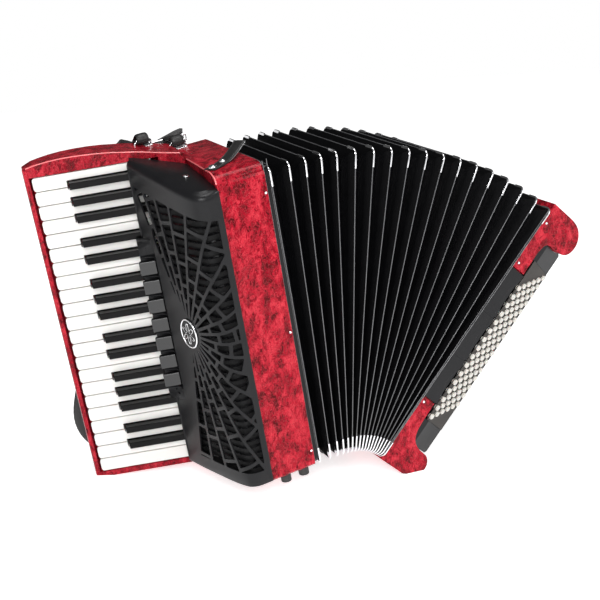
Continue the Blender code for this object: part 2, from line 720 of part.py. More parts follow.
def air_button(bass):
    """Air release button: a cap on a stem through the cover's outer wall, its origin on the slide's axis."""
    cap = cylinder(AIR_RADIUS, AIR_TRAVEL + 0.8, AIR_TRAVEL + 5.5, segments=20)
    stem = cylinder(AIR_STEM, -9.0, AIR_TRAVEL + 1.5, segments=12)
    place = Matrix.Translation(Vector((BOARD_OUTER, *AIR_PLACE)) * MM) @ Matrix.Rotation(math.pi / 2, 4, "Y")
    return piece("air_button", combine(cap, stem, "UNION"), CHROME, bass, place)


def bellows_strap(treble):
    """Strap that buttons the closed bellows, swivelling on a stud on top of the treble end."""
    x, y, z = STUD
    z += GAP + 1.2
    route = [(x - 7, y - 4, z), (x + 14, y + 9, z), (x + 32, y + 21, z + 4), (x + 54, y + 36, z + 13)]
    made = ribbon("bellows_strap", route, (0, 0, 1), 17.0, 2.2, treble)
    made.data.transform(Matrix.Translation(Vector(STUD) * -MM))
    made.matrix_local = Matrix.Translation(Vector(STUD) * MM)
    return made


def centre_on_floor(stand):
    """Slide the stand so that the middle of the whole outline lies over the origin."""
    bpy.context.view_layer.update()
    graph = bpy.context.evaluated_depsgraph_get()
    corners = [item.matrix_world @ vertex.co for item in PARTS.objects if item.type == "MESH"
               for vertex in item.evaluated_get(graph).data.vertices]
    low = [min(corner[i] for corner in corners) for i in range(3)]
    high = [max(corner[i] for corner in corners) for i in range(3)]
    stand.location.x -= (low[0] + high[0]) / 2
    stand.location.y -= (low[1] + high[1]) / 2


def main():
    """Build the whole instrument."""
    stand = empty("stand", None, Matrix.Translation((0.0, 0.0, -FLOOR * MM)))
    treble = empty("treble", stand, Matrix.Rotation(-LEAN, 4, "Y"))
    keyboard = empty("keyboard", treble, keyboard_frame())
    bpy.context.view_layer.update()
    treble_casing(treble)
    keyboard_wing(treble)
    keys(keyboard)
    key_axle(keyboard)
    grille_cover(treble, keyboard)
    register_switches(keyboard)
    angle, x, z = bellows(treble)
    bass = empty("bass", treble, turn_y(angle, x, z))
    bpy.context.view_layer.update()
    bass_casing(bass)
    bass_cover(bass)
    bass_buttons(bass)
    shoulder_straps(treble)
    bellows_strap(treble)
    bass_strap(bass)
    air_button(bass)
    centre_on_floor(stand)


main()
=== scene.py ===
"""The looks of a red piano accordion: pearl casings, black grille, keys, pleated bellows, buttons and leather straps.

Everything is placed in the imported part's frame. Three working frames are rebuilt from the part's joints:
  TREBLE    x towards the bellows, y from the front to the player, z up the keyboard side
  KEYBOARD  x along a key from its tip, y up the keyboard, z out of the key tops
  BASS      x out of the bass end, y from the front to the player, z up the bass end
Lengths in the shape functions are millimetres; MM turns them into metres.
"""
import json
import math

import bmesh
import bpy
from mathutils import Matrix, Vector, noise

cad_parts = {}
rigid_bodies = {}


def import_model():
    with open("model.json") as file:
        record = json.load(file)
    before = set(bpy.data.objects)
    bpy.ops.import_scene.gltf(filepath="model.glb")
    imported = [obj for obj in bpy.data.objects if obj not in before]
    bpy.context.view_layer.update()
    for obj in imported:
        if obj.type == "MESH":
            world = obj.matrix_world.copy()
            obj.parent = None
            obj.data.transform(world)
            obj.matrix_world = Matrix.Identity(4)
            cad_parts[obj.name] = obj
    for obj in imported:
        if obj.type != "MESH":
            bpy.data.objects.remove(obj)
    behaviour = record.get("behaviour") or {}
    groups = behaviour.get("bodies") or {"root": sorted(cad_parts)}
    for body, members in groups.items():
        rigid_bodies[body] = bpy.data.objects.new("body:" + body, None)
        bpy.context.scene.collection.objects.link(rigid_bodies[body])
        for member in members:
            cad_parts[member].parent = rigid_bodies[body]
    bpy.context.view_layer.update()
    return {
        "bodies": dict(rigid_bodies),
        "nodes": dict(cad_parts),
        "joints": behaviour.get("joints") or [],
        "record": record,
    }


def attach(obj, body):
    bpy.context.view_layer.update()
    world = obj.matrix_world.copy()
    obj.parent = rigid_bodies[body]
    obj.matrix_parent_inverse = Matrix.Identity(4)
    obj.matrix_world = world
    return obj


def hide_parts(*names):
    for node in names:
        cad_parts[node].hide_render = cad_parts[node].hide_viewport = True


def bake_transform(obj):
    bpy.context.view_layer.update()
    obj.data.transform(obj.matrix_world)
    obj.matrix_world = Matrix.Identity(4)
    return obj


MM = 0.001
UP, BACK = Vector((0.0, 0.0, 1.0)), Vector((0.0, 1.0, 0.0))
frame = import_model()
NODES = frame["nodes"]
JOINTS = {joint["name"]: joint for joint in frame["joints"]}

# Sizes repeated from the part's design
DEPTH = 179.0
TREBLE_WIDTH = 63.0
TREBLE_HEIGHT = 414.0
FRONT_ROUND = 16.0
WALL_SLANT = 12.0 / 177.0
BELLOWS_X = 70.0
WHITE_KEYS = 22
BLACK_KEYS = 15
PITCH = 19.0
KEYBOARD_TURN = math.radians(23.8)
KEYBOARD_TIP = (-169.7, 186.6, 3.75)
KEY_SHOWN = 118.0
KEY_NARROWING = 0.965
STUD = (12.0, 30.0, 414.0)
FOLDS = 17
BELLOWS_LENGTH = 406.0
PLEAT = 14.0
SECTION_ENDS = (4, 8, 12, 17)
FIRST_ANGLES = (0.0, 1.5, 3.1, 5.0, 7.1)
FAN = 49.6
FAN_GROWTH = 0.105
FOLD_PITCH = 3.9
LOOSE_PITCH = 11.5
LOOSE_DECAY = 0.63
BASS_HEIGHT = 415.0
BASE_DEPTH = 22.0
COVER_LOW, COVER_HIGH = 100.0, 312.0
BOARD_INNER, BOARD_FRONT = 26.5, 1.0
BOARD_OUTER, BOARD_BACK = 75.0, 22.0
BOARD_LOW, BOARD_HEIGHT = 76.0, 262.0
BOARD_WIDTH = math.hypot(BOARD_OUTER - BOARD_INNER, BOARD_BACK - BOARD_FRONT)
BUTTON_COLUMNS, BUTTON_ROWS = 16, 6
BUTTON_STEP, ROW_STEP, ROW_SHIFT = 14.1, 8.4, 7.2
BUTTON_FIRST, ROW_FIRST = 7.2, 5.6
BUTTON_RADIUS = 4.1
BUTTON_PROUD = 3.4
BUTTON_FOOT = -2.1
HOLE_CLEARANCE = 0.45
BOARD_MARGIN, BOARD_SIDE_MARGIN = 0.4, 0.3
STRIP_OUTER = 25.6
SCOOP_DEPTH = 7.5


def frame_at(x_axis, y_axis, z_axis, origin):
    """A 4x4 frame from its axes and its origin in metres."""
    made = Matrix((x_axis, y_axis, z_axis)).transposed().to_4x4()
    made.translation = origin
    return made


def working_frames():
    """The three frames, from the joints' places and axes."""
    strap = JOINTS["bellows_strap_swing"]
    up = Vector(strap["axis"]).normalized()
    back = Vector((0.0, 1.0, 0.0))
    right = back.cross(up)
    turn = Matrix((right, back, up)).transposed()
    treble = frame_at(right, back, up, Vector(strap["pos_m"]) - turn @ (Vector(STUD) * MM))
    cos, sin = math.cos(KEYBOARD_TURN), math.sin(KEYBOARD_TURN)
    keyboard = Matrix(((cos, 0, -sin, 0), (-sin, 0, -cos, 0), (0, 1, 0, 0), (0, 0, 0, 1)))
    keyboard.translation = Vector(KEYBOARD_TIP) * MM
    hinge = JOINTS["bellows_fan"]
    bass_turn = turn @ Matrix.Rotation(math.radians(FAN), 3, "Y")
    bass = bass_turn.to_4x4()
    bass.translation = Vector(hinge["pos_m"])
    return treble, treble @ keyboard, bass


TREBLE, KEYBOARD, BASS = working_frames()


# ---------------------------------------------------------------- materials

class Nodes:
    """Small helper that builds a material's node graph."""

    def __init__(self, name):
        self.material = bpy.data.materials.new(name)
        self.material.use_nodes = True
        self.tree = self.material.node_tree
        self.shader = self.tree.nodes["Principled BSDF"]
        self.place = self.add("ShaderNodeTexCoord").outputs["Object"]

    def add(self, kind, **settings):
        """A node with its properties set."""
        node = self.tree.nodes.new(kind)
        for key, value in settings.items():
            setattr(node, key, value)
        return node

    def link(self, source, target):
        """Join two sockets."""
        self.tree.links.new(source, target)
        return target

    def set(self, **values):
        """Set the shader's constant inputs, written with underscores for spaces."""
        for key, value in values.items():
            self.shader.inputs[key.replace("_", " ")].default_value = value

    def noise(self, scale, detail=4.0, roughness=0.5, distortion=0.0, source=None):
        """A noise texture's value socket."""
        node = self.add("ShaderNodeTexNoise")
        node.inputs["Scale"].default_value = scale
        node.inputs["Detail"].default_value = detail
        node.inputs["Roughness"].default_value = roughness
        node.inputs["Distortion"].default_value = distortion
        self.link(source or self.place, node.inputs["Vector"])
        return node.outputs["Fac"]

    def ramp(self, source, stops):
        """A colour ramp over a value, stops as (position, colour)."""
        node = self.add("ShaderNodeValToRGB")
        elements = node.color_ramp.elements
        while len(elements) < len(stops):
            elements.new(0.5)
        for element, (position, colour) in zip(elements, stops):
            element.position = position
            element.color = (*colour, 1.0)
        self.link(source, node.inputs["Fac"])
        return node.outputs["Color"]

    def math(self, operation, a, b):
        """A maths node on two sockets or numbers."""
        node = self.add("ShaderNodeMath", operation=operation)
        for socket, value in zip(node.inputs, (a, b)):
            if isinstance(value, (int, float)):
                socket.default_value = value
            else:
                self.link(value, socket)
        return node.outputs[0]

    def colour(self, source, stops):
        """Base colour from a ramp over a value."""
        self.link(self.ramp(source, stops), self.shader.inputs["Base Color"])

    def rough(self, source, spread, low):
        """Roughness that rises from low by spread with a value."""
        value = self.math("MULTIPLY_ADD", source, spread)
        value.node.inputs[2].default_value = low
        self.link(value, self.shader.inputs["Roughness"])

    def bump(self, height, strength, distance=0.001):
        """Bump the shader's normal by a height socket."""
        node = self.add("ShaderNodeBump")
        node.inputs["Strength"].default_value = strength
        node.inputs["Distance"].default_value = distance
        self.link(height, node.inputs["Height"])
        self.link(node.outputs["Normal"], self.shader.inputs["Normal"])


def shades(colour, *stops):
    """Ramp stops of one colour, each made darker or lighter by a factor."""
    return [(position, tuple(min(1.0, c * factor) for c in colour)) for position, factor in stops]


def pearl():
    """Red pearl celluloid: soft bright and dark clouds, crossed by fine crinkles, under a clear polish."""
    nodes = Nodes("red_pearl")
    stretch = nodes.add("ShaderNodeVectorMath", operation="MULTIPLY")
    nodes.link(nodes.place, stretch.inputs[0])
    stretch.inputs[1].default_value = (1.0, 1.0, 0.62)
    place = stretch.outputs[0]
    cloud = nodes.noise(58.0, 3.0, 0.5, 0.9, place)
    crinkle = nodes.noise(165.0, 5.0, 0.62, 2.4, place)
    flake = nodes.add("ShaderNodeTexVoronoi", feature="SMOOTH_F1")
    flake.inputs["Scale"].default_value = 150.0
    flake.inputs["Smoothness"].default_value = 0.25
    warp = nodes.add("ShaderNodeTexNoise")
    warp.inputs["Scale"].default_value = 70.0
    warp.inputs["Detail"].default_value = 3.0
    nodes.link(place, warp.inputs["Vector"])
    shift = nodes.add("ShaderNodeVectorMath", operation="SCALE")
    nodes.link(warp.outputs["Color"], shift.inputs[0])
    shift.inputs["Scale"].default_value = 0.022
    moved = nodes.add("ShaderNodeVectorMath", operation="ADD")
    nodes.link(place, moved.inputs[0])
    nodes.link(shift.outputs[0], moved.inputs[1])
    nodes.link(moved.outputs[0], flake.inputs["Vector"])
    glint = nodes.add("ShaderNodeSeparateColor")
    nodes.link(flake.outputs["Color"], glint.inputs[0])
    tone = nodes.math("ADD", nodes.math("MULTIPLY", cloud, 0.62), nodes.math("MULTIPLY", crinkle, 0.50))
    tone = nodes.math("ADD", tone, nodes.math("MULTIPLY", glint.outputs[0], 0.13))
    base = nodes.ramp(tone, ((0.50, (0.075, 0.001, 0.003)), (0.575, (0.190, 0.001, 0.008)),
                             (0.65, (0.310, 0.003, 0.014)), (0.76, (0.480, 0.020, 0.036))))
    mixed = base
    wrinkle = nodes.noise(105.0, 4.0, 0.6, 3.0, place)
    for source, width, strength, colour in ((crinkle, 0.030, 1.1, (0.62, 0.070, 0.085, 1.0)),
                                            (wrinkle, 0.022, 1.2, (0.055, 0.001, 0.002, 1.0))):
        fold = nodes.math("ABSOLUTE", nodes.math("SUBTRACT", source, 0.5), 0.0)
        crease = nodes.ramp(fold, ((0.0, (1.0, 1.0, 1.0)), (width, (0.0, 0.0, 0.0))))
        mix = nodes.add("ShaderNodeMix", data_type="RGBA")
        nodes.link(nodes.math("MULTIPLY", nodes.math("MULTIPLY", crease, cloud), strength), mix.inputs["Factor"])
        nodes.link(mixed, mix.inputs["A"])
        mix.inputs["B"].default_value = colour
        mixed = mix.outputs["Result"]
    nodes.link(mixed, nodes.shader.inputs["Base Color"])
    gloss = nodes.ramp(crinkle, ((0.35, (0.34, 0.34, 0.34)), (0.65, (0.22, 0.22, 0.22))))
    nodes.link(gloss, nodes.shader.inputs["Roughness"])
    nodes.set(Specular_IOR_Level=0.05, Coat_Weight=0.25, Coat_Roughness=0.06, Coat_IOR=1.3)
    return nodes.material


def lacquer(name, colour, roughness, grain=0.03, coat=0.0, specular=0.5):
    """Sprayed satin lacquer or moulded plastic with a faint orange peel."""
    nodes = Nodes(name)
    nodes.colour(nodes.noise(25.0, 3.0), shades(colour, (0.3, 0.85), (0.7, 1.12)))
    nodes.rough(nodes.noise(90.0, 2.0), 0.12, roughness - 0.06)
    nodes.bump(nodes.noise(900.0, 2.0), grain, 0.0004)
    nodes.set(Coat_Weight=coat, Coat_Roughness=0.08, Specular_IOR_Level=specular)
    return nodes.material


def metal(name, colour=(0.86, 0.86, 0.88), roughness=0.12):
    """Plated metal with faint wipe marks."""
    nodes = Nodes(name)
    marks = nodes.noise(160.0, 4.0, 0.6)
    nodes.colour(marks, shades(colour, (0.35, 0.9), (0.65, 1.0)))
    nodes.rough(marks, 0.16, roughness - 0.05)
    nodes.set(Metallic=1.0)
    return nodes.material


def leather(name, colour=(0.009, 0.0088, 0.0088), roughness=0.46):
    """Black leather with pebble grain and worn, shinier high spots."""
    nodes = Nodes(name)
    pebbles = nodes.add("ShaderNodeTexVoronoi", feature="DISTANCE_TO_EDGE")
    pebbles.inputs["Scale"].default_value = 620.0
    nodes.link(nodes.place, pebbles.inputs["Vector"])
    crease = nodes.noise(70.0, 5.0, 0.6, 0.8)
    nodes.colour(crease, shades(colour, (0.3, 0.7), (0.7, 1.7)))
    nodes.rough(crease, 0.22, roughness - 0.11)
    depth = nodes.math("ADD", nodes.math("MINIMUM", pebbles.outputs["Distance"], 0.12),
                       nodes.math("MULTIPLY", crease, 0.25))
    nodes.bump(depth, 0.55, 0.0007)
    return nodes.material


def cloth(name, colour, roughness, weave, sheen=0.3, specular=0.3):
    """Woven bellows cloth or tape: crossed threads in the bump and a soft sheen."""
    nodes = Nodes(name)
    waves = []
    for direction in ("X", "Z"):
        wave = nodes.add("ShaderNodeTexWave", wave_type="BANDS", bands_direction=direction)
        wave.inputs["Scale"].default_value = weave
        wave.inputs["Distortion"].default_value = 0.6
        nodes.link(nodes.place, wave.inputs["Vector"])
        waves.append(wave.outputs["Fac"])
    threads = nodes.math("MULTIPLY", *waves)
    patch = nodes.noise(40.0, 4.0, 0.6)
    nodes.colour(nodes.math("ADD", nodes.math("MULTIPLY", threads, 0.35), nodes.math("MULTIPLY", patch, 0.65)),
                 shades(colour, (0.2, 0.6), (0.8, 1.5)))
    nodes.bump(nodes.math("ADD", threads, nodes.math("MULTIPLY", patch, 0.8)), 0.35, 0.0004)
    nodes.set(Roughness=roughness, Sheen_Weight=sheen, Sheen_Roughness=0.4, Specular_IOR_Level=specular)
    return nodes.material


def rubber():
    """Matt black rubber."""
    nodes = Nodes("rubber")
    nodes.colour(nodes.noise(120.0, 4.0), ((0.3, (0.012, 0.012, 0.012)), (0.8, (0.035, 0.035, 0.034))))
    nodes.bump(nodes.noise(500.0, 2.0), 0.2, 0.0005)
    nodes.set(Roughness=0.75)
    return nodes.material


def ivory(name="ivory", colour=(0.74, 0.725, 0.70)):
    """Polished white key plastic with a trace of warmth under the surface."""
    nodes = Nodes(name)
    nodes.colour(nodes.noise(18.0, 3.0), shades(colour, (0.3, 0.97), (0.7, 1.0)))
    nodes.rough(nodes.noise(60.0, 3.0), 0.08, 0.14)
    nodes.set(Coat_Weight=0.4, Coat_Roughness=0.04, Subsurface_Weight=0.05, Subsurface_Scale=0.002)
    return nodes.material


PEARL = pearl()
TRIM = lacquer("pale_trim", (0.80, 0.16, 0.17), 0.22, 0.0, 0.6)
SATIN = lacquer("satin_black", (0.0085, 0.0085, 0.0095), 0.32, 0.05, 0.0, 0.2)
GLOSS = lacquer("gloss_black", (0.0035, 0.0035, 0.004), 0.16, 0.0, 0.0, 0.22)
KEY_BLACK = lacquer("key_black", (0.0042, 0.0040, 0.0042), 0.24, 0.02, 0.0, 0.12)
BOARD = lacquer("board_grey", (0.050, 0.046, 0.043), 0.55, 0.06, 0.0, 0.08)
SWITCH = lacquer("switch_black", (0.0035, 0.0035, 0.004), 0.13, 0.0, 0.4, 0.5)
CHROME = metal("chrome")
STEEL = metal("grey_steel", (0.42, 0.42, 0.43), 0.3)
LEATHER = leather("black_leather")
CLOTH = cloth("bellows_cloth", (0.0018, 0.0018, 0.0022), 0.34, 700.0, 0.0, 0.05)
TAPE = cloth("bellows_tape", (0.0026, 0.0026, 0.0030), 0.5, 420.0, 0.0, 0.04)
GAUZE = cloth("grille_gauze", (0.004, 0.004, 0.0045), 0.75, 520.0, 0.02)
THREAD = cloth("thread", (0.10, 0.10, 0.10), 0.8, 900.0, 0.4)
RUBBER = rubber()
IVORY = ivory()
CREAM = ivory("cream_button", (0.50, 0.48, 0.44))
EDGE = lacquer("ridge_edge", (0.10, 0.10, 0.105), 0.3, 0.0, 0.3)


# ---------------------------------------------------------------- mesh helpers

def linked(name, data):
    """A new object in the scene."""
    made = bpy.data.objects.new(name, data)
    bpy.context.scene.collection.objects.link(made)
    return made


def add(name, mesh, material, body, matrix=None, replaces=()):
    """Put a finished mesh in the scene, give it its material and let it ride on a body."""
    if matrix is not None:
        mesh.transform(matrix)
    made = linked(name, mesh)
    materials = material if isinstance(material, (list, tuple)) else [material]
    mesh.materials.clear()
    for item in materials:
        mesh.materials.append(item)
    if body:
        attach(made, body)
    if replaces:
        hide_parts(*replaces)
    return made


def finish_mesh(bm, name, smooth=40.0):
    """Turn a bmesh into a shaded mesh."""
    bmesh.ops.recalc_face_normals(bm, faces=bm.faces)
    mesh = bpy.data.meshes.new(name)
    bm.to_mesh(mesh)
    bm.free()
    mesh.shade_smooth()
    mesh.set_sharp_from_angle(angle=math.radians(smooth))
    return mesh


def skin(bm, rows, around=False, flip=False):
    """Quads between neighbouring rows of vertices; around joins each row's end to its start."""
    for here, after in zip(rows, rows[1:]):
        for i in range(len(here) if around else len(here) - 1):
            j = (i + 1) % len(here)
            bm.faces.new((here[i], after[i], after[j], here[j]) if flip else (here[i], here[j], after[j], after[i]))


def thicken(made, thickness, offset=-1.0):
    """Give a sheet its thickness."""
    solid = made.modifiers.new("thickness", "SOLIDIFY")
    solid.thickness = thickness * MM
    solid.offset = offset


def join_flat(bm):
    """Join up the pieces of each flat face."""
    bmesh.ops.dissolve_limit(bm, angle_limit=math.radians(0.5), verts=bm.verts, edges=bm.edges)


def round_edges(made, width, segments=3, angle=35.0):
    """Rounded edges, with flat faces kept flat in the shading."""
    bevel = made.modifiers.new("round", "BEVEL")
    bevel.width = width * MM
    bevel.segments = segments
    bevel.limit_method = "ANGLE"
    bevel.angle_limit = math.radians(angle)
    bevel.harden_normals = True
    bevel.use_clamp_overlap = True
    return made


def evaluated(source):
    """The mesh of an object after its modifiers."""
    bpy.context.view_layer.update()
    graph = bpy.context.evaluated_depsgraph_get()
    return bpy.data.meshes.new_from_object(source.evaluated_get(graph))


def refined(name, node, material, body, width=1.2, segments=3):
    """A finished copy of a plain node: its flat faces joined up again and its edges rounded."""
    bm = bmesh.new()
    bm.from_mesh(NODES[node].data)
    bmesh.ops.remove_doubles(bm, verts=bm.verts, dist=1e-6)
    join_flat(bm)
    mesh = finish_mesh(bm, name)
    made = add(name, mesh, material, body, replaces=(node,))
    return round_edges(made, width, segments)


def prism(points, low, high, upright=False):
    """A bmesh of an outline in millimetres, extruded along z, or along y when upright."""
    bm = bmesh.new()
    rows = []
    for level in (low, high):
        corners = [(x, level, y) if upright else (x, y, level) for x, y in points]
        rows.append([bm.verts.new(Vector(corner) * MM) for corner in corners])
    bm.faces.new(rows[0][::-1])
    bm.faces.new(rows[1])
    skin(bm, rows, around=True)
    bmesh.ops.recalc_face_normals(bm, faces=bm.faces)
    return bm


def block(low, high):
    """A bmesh box between two corners in millimetres."""
    return prism([(low[0], low[1]), (high[0], low[1]), (high[0], high[1]), (low[0], high[1])], low[2], high[2])


def carve(base, *cutters, operation="DIFFERENCE"):
    """Boolean of bmeshes; returns a mesh."""
    objects = []
    for bm in (base, *cutters):
        mesh = bpy.data.meshes.new("carve")
        bm.to_mesh(mesh)
        bm.free()
        objects.append(linked("carve", mesh))
    for cutter in objects[1:]:
        step = objects[0].modifiers.new("step", "BOOLEAN")
        step.operation = operation
        step.object = cutter
    result = evaluated(objects[0])
    for item in objects:
        bpy.data.objects.remove(item, do_unlink=True)
    return result


def arc(centre, radius, start, end, steps=6):
    """Points of an arc, angles in degrees."""
    return [(centre[0] + radius * math.cos(math.radians(start + (end - start) * i / steps)),
             centre[1] + radius * math.sin(math.radians(start + (end - start) * i / steps)))
            for i in range(steps + 1)]


def rounded_rectangle(low, high, radius, steps):
    """Outline of a rectangle between two corners with rounded corners."""
    (x0, y0), (x1, y1), r = low, high, radius
    corners = (((x0 + r, y0 + r), 180), ((x1 - r, y0 + r), 270), ((x1 - r, y1 - r), 0), ((x0 + r, y1 - r), 90))
    return [point for centre, start in corners for point in arc(centre, r, start, start + 90, steps)]


def smooth_points(points, steps):
    """Samples of a Catmull-Rom curve through points of any size."""
    points = [Vector(point) for point in points]
    ends = [2 * points[0] - points[1]] + points + [2 * points[-1] - points[-2]]
    samples = []
    for step in range(steps + 1):
        place = step / steps * (len(points) - 1)
        span = min(int(place), len(points) - 2)
        t = place - span
        a, b, c, d = ends[span:span + 4]
        samples.append(0.5 * (2 * b + (c - a) * t + (2 * a - 5 * b + 4 * c - d) * t * t
                              + (3 * b - a - 3 * c + d) * t ** 3))
    return samples


def sweep(bm, path, section, facing, closed=False):
    """Sweep a section of (across, out) points along a path in millimetres; out points along facing."""
    rows = []
    count = len(path)
    for i, point in enumerate(path):
        before = path[i - 1] if closed or i else path[i]
        after = path[(i + 1) % count] if closed or i < count - 1 else path[i]
        along = (after - before).normalized()
        out_way = facing(i) if callable(facing) else facing
        across = along.cross(out_way).normalized()
        out = across.cross(along).normalized()
        rows.append([bm.verts.new((point + across * a + out * o) * MM) for a, o in section])
    if closed:
        skin(bm, rows + rows[:1], around=True)
    else:
        skin_tube(bm, rows)


def skin_tube(bm, rows):
    """Close rows of vertices into a tube with both ends capped."""
    skin(bm, rows, around=True)
    bm.faces.new(rows[0])
    bm.faces.new(rows[-1])


def swept(name, path, section, facing, material, body, parent, closed=False, smooth=70):
    """A piece made by one sweep."""
    bm = bmesh.new()
    sweep(bm, path, section, facing, closed)
    return add(name, finish_mesh(bm, name, smooth), material, body, parent)


def round_section(radius, sides=8):
    """A round section for sweep."""
    return [(radius * math.cos(2 * math.pi * i / sides), radius * math.sin(2 * math.pi * i / sides))
            for i in range(sides)]


def turned(profile, segments=24):
    """A bmesh turned about z from (radius, height) points; closed where a radius is zero."""
    bm = bmesh.new()
    rows = []
    for radius, height in profile:
        if radius < 1e-6:
            rows.append([bm.verts.new((0, 0, height * MM))])
        else:
            rows.append([bm.verts.new((radius * math.cos(2 * math.pi * i / segments) * MM,
                                       radius * math.sin(2 * math.pi * i / segments) * MM, height * MM))
                         for i in range(segments)])
    for here, after in zip(rows, rows[1:]):
        for i in range(segments):
            j = (i + 1) % segments
            corners = [here[i % len(here)], here[j % len(here)], after[j % len(after)], after[i % len(after)]]
            unique = list(dict.fromkeys(corners))
            if len(unique) > 2:
                bm.faces.new(unique)
    bmesh.ops.recalc_face_normals(bm, faces=bm.faces)
    return bm


def place_z(origin, way, parent):
    """World matrix with z along a way at a point in millimetres, both in a working frame."""
    turn = Vector(way).to_track_quat("Z", "Y").to_matrix().to_4x4()
    return parent @ Matrix.Translation(Vector(origin) * MM) @ turn


def dome_screw(name, origin, way, parent, body, radius=2.4, material=None):
    """A slotted dome screw head or pin standing on a surface."""
    profile = [(0, 0.0), (radius, 0.0), (radius, 0.35)] + [
        (radius * math.cos(math.radians(a)), 0.35 + radius * 0.42 * math.sin(math.radians(a))) for a in (20, 45, 70)]
    bm = turned(profile + [(0, 0.35 + radius * 0.42)], 20)
    slot = block((-radius * 1.1, -radius * 0.14, 0.35 + radius * 0.16), (radius * 1.1, radius * 0.14, 4.0))
    mesh = carve(bm, slot)
    mesh.shade_smooth()
    mesh.set_sharp_from_angle(angle=math.radians(40))
    return add(name, mesh, material or CHROME, body, place_z(origin, way, parent))


# ---------------------------------------------------------------- treble end

def paint(made, parent, rules):
    """Give faces other materials where a rule on their middle, in a working frame, says so."""
    back = parent.inverted()
    for face in made.data.polygons:
        middle = back @ (made.matrix_world @ face.center) / MM
        for index, rule in rules:
            if rule(middle):
                face.material_index = index


def key_plan(along, out):
    """Treble-frame x, y of a point given along a key and out of its top."""
    cos, sin = math.cos(KEYBOARD_TURN), math.sin(KEYBOARD_TURN)
    return (KEYBOARD_TIP[0] + along * cos - out * sin, KEYBOARD_TIP[1] - along * sin - out * cos)


def bead(name, points, radius, material, body, parent, steps=40):
    """A thin raised line along a smooth route."""
    path = smooth_points(points, steps)
    first = (path[1] - path[0]).normalized()
    reference = Vector((0.12, 0.15, 1.0)) if abs(first.z) < 0.8 else Vector((1.0, 0.2, 0.1))
    return swept(name, path, round_section(radius), reference, material, body, parent)


def treble_end():
    """Casing, keyboard wing, rod, feet and trim."""
    casing = refined("casing_treble", "treble_casing", [PEARL, SATIN, RUBBER], "treble", 1.1, 3)
    bm = bmesh.new()
    bm.from_mesh(casing.data)
    mouth_plane = TREBLE @ Vector((TREBLE_WIDTH * MM, 0, 0))
    bmesh.ops.bisect_plane(bm, geom=bm.verts[:] + bm.edges[:] + bm.faces[:], plane_co=mouth_plane,
                           plane_no=TREBLE.to_3x3().col[0], clear_outer=True)
    bm.to_mesh(casing.data)
    bm.free()
    paint(casing, TREBLE, ((1, lambda p: p.x > TREBLE_WIDTH - 0.5), (2, lambda p: p.z < -0.6)))
    loop = rounded_rectangle((1.5, 1.5), (DEPTH - 1.5, BELLOWS_LENGTH + 2.6), 9.0, 8)
    bm = prism(loop, TREBLE_WIDTH - 0.6, BELLOWS_X - 0.4)
    bm.transform(Matrix(((0, 0, 1, 0), (1, 0, 0, 0), (0, 1, 0, 0), (0, 0, 0, 1))))
    made = add("frame_bellows", finish_mesh(bm, "frame_bellows"), GLOSS, "treble", TREBLE)
    round_edges(made, 1.0, 3)
    refined("wing_keyboard", "keyboard_wing", PEARL, "treble", 1.6, 4)
    refined("rod_keys", "key_axle", STEEL, "treble", 0.3, 2)
    edge = [(WALL_SLANT * y, y, TREBLE_HEIGHT + 0.1) for y in (104, 80, 55, 30, FRONT_ROUND)]
    front = [(0.6, FRONT_ROUND - 11.0, TREBLE_HEIGHT - 4.6), (0.3, 1.2, TREBLE_HEIGHT - 11.5)]
    bead("trim_casing_top", edge + front, 1.0, TRIM, "treble", TREBLE)
    bead("trim_casing_front", [(0.3, 0.4, 396.0), (0.3, -0.1, 300), (0.3, -0.1, 100), (0.3, 0.2, 5.0)], 0.7, TRIM,
         "treble", TREBLE, 8)
    top = TREBLE_HEIGHT - 0.4
    mouth = ((0.9, 6.0), (0.9, 200.0), (0.9, 396.0), (5.4, 408.6), (17.0, top), (90.0, top), (170.0, top))
    edges = ((1.9, 4.0), (1.9, 200.0), (1.9, 398.0), (4.5, 407.0), (12.0, 408.8), (90.0, 408.8), (172.0, 408.8))
    for name, x, line in (("trim_mouth", TREBLE_WIDTH, mouth), ("trim_bellows_frame", BELLOWS_X - 0.9, edges)):
        bead(name, [(x, y, z) for y, z in line], 0.5, EDGE, "treble", TREBLE, 60)
    for number, height in enumerate((376.0, 192.0, 23.0), 1):
        dome_screw(f"pin_front_{number}", (60.2, 0.1, height), (0, -1, 0), TREBLE, "treble", 1.7)
        dome_screw(f"pin_back_{number}", (56.0, DEPTH - 0.1, height), (0, 1, 0), TREBLE, "treble", 1.7)
    wing_trim()


def wing_trim():
    """The bright line along the wing's top front edge."""
    crest = smooth_points([(-173.5, 434.9, 0.0), (-157, 438.4, 0.0), (-127, 440.5, 0.0), (-86, 438.6, 0.0),
                           (-45, 432.4, 0.0), (-12, 425.2, 0.0), (30, 416.5, 0.0)], 120)
    points = []
    for along in range(188, -5, -12):
        x, y = key_plan(along, 0.4)
        nearest = min(crest, key=lambda point: abs(point.x - x))
        points.append((x, y, nearest.y + 0.1))
    bead("trim_wing_top", points, 0.8, TRIM, "treble", TREBLE, 40)


def keys():
    """White and black keys with rounded edges; the white ones are drawn in slightly so that dark gaps show."""
    back = KEYBOARD.inverted()
    for index in range(1, WHITE_KEYS + 1):
        made = refined(f"key_white_{index:02d}", f"white_key_{index:02d}", IVORY, f"white_key_{index:02d}", 1.2, 3)
        middle = (WHITE_KEYS - index + 0.5) * PITCH
        narrow = Matrix.Diagonal((1.0, KEY_NARROWING, 1.0, 1.0))
        squeeze = Matrix.Translation((0, middle * MM, 0)) @ narrow @ Matrix.Translation((0, -middle * MM, 0))
        made.data.transform(KEYBOARD @ squeeze @ back)
    for index in range(1, BLACK_KEYS + 1):
        refined(f"key_black_{index:02d}", f"black_key_{index:02d}", KEY_BLACK, f"black_key_{index:02d}", 0.9, 3)


# ---------------------------------------------------------------- grille cover

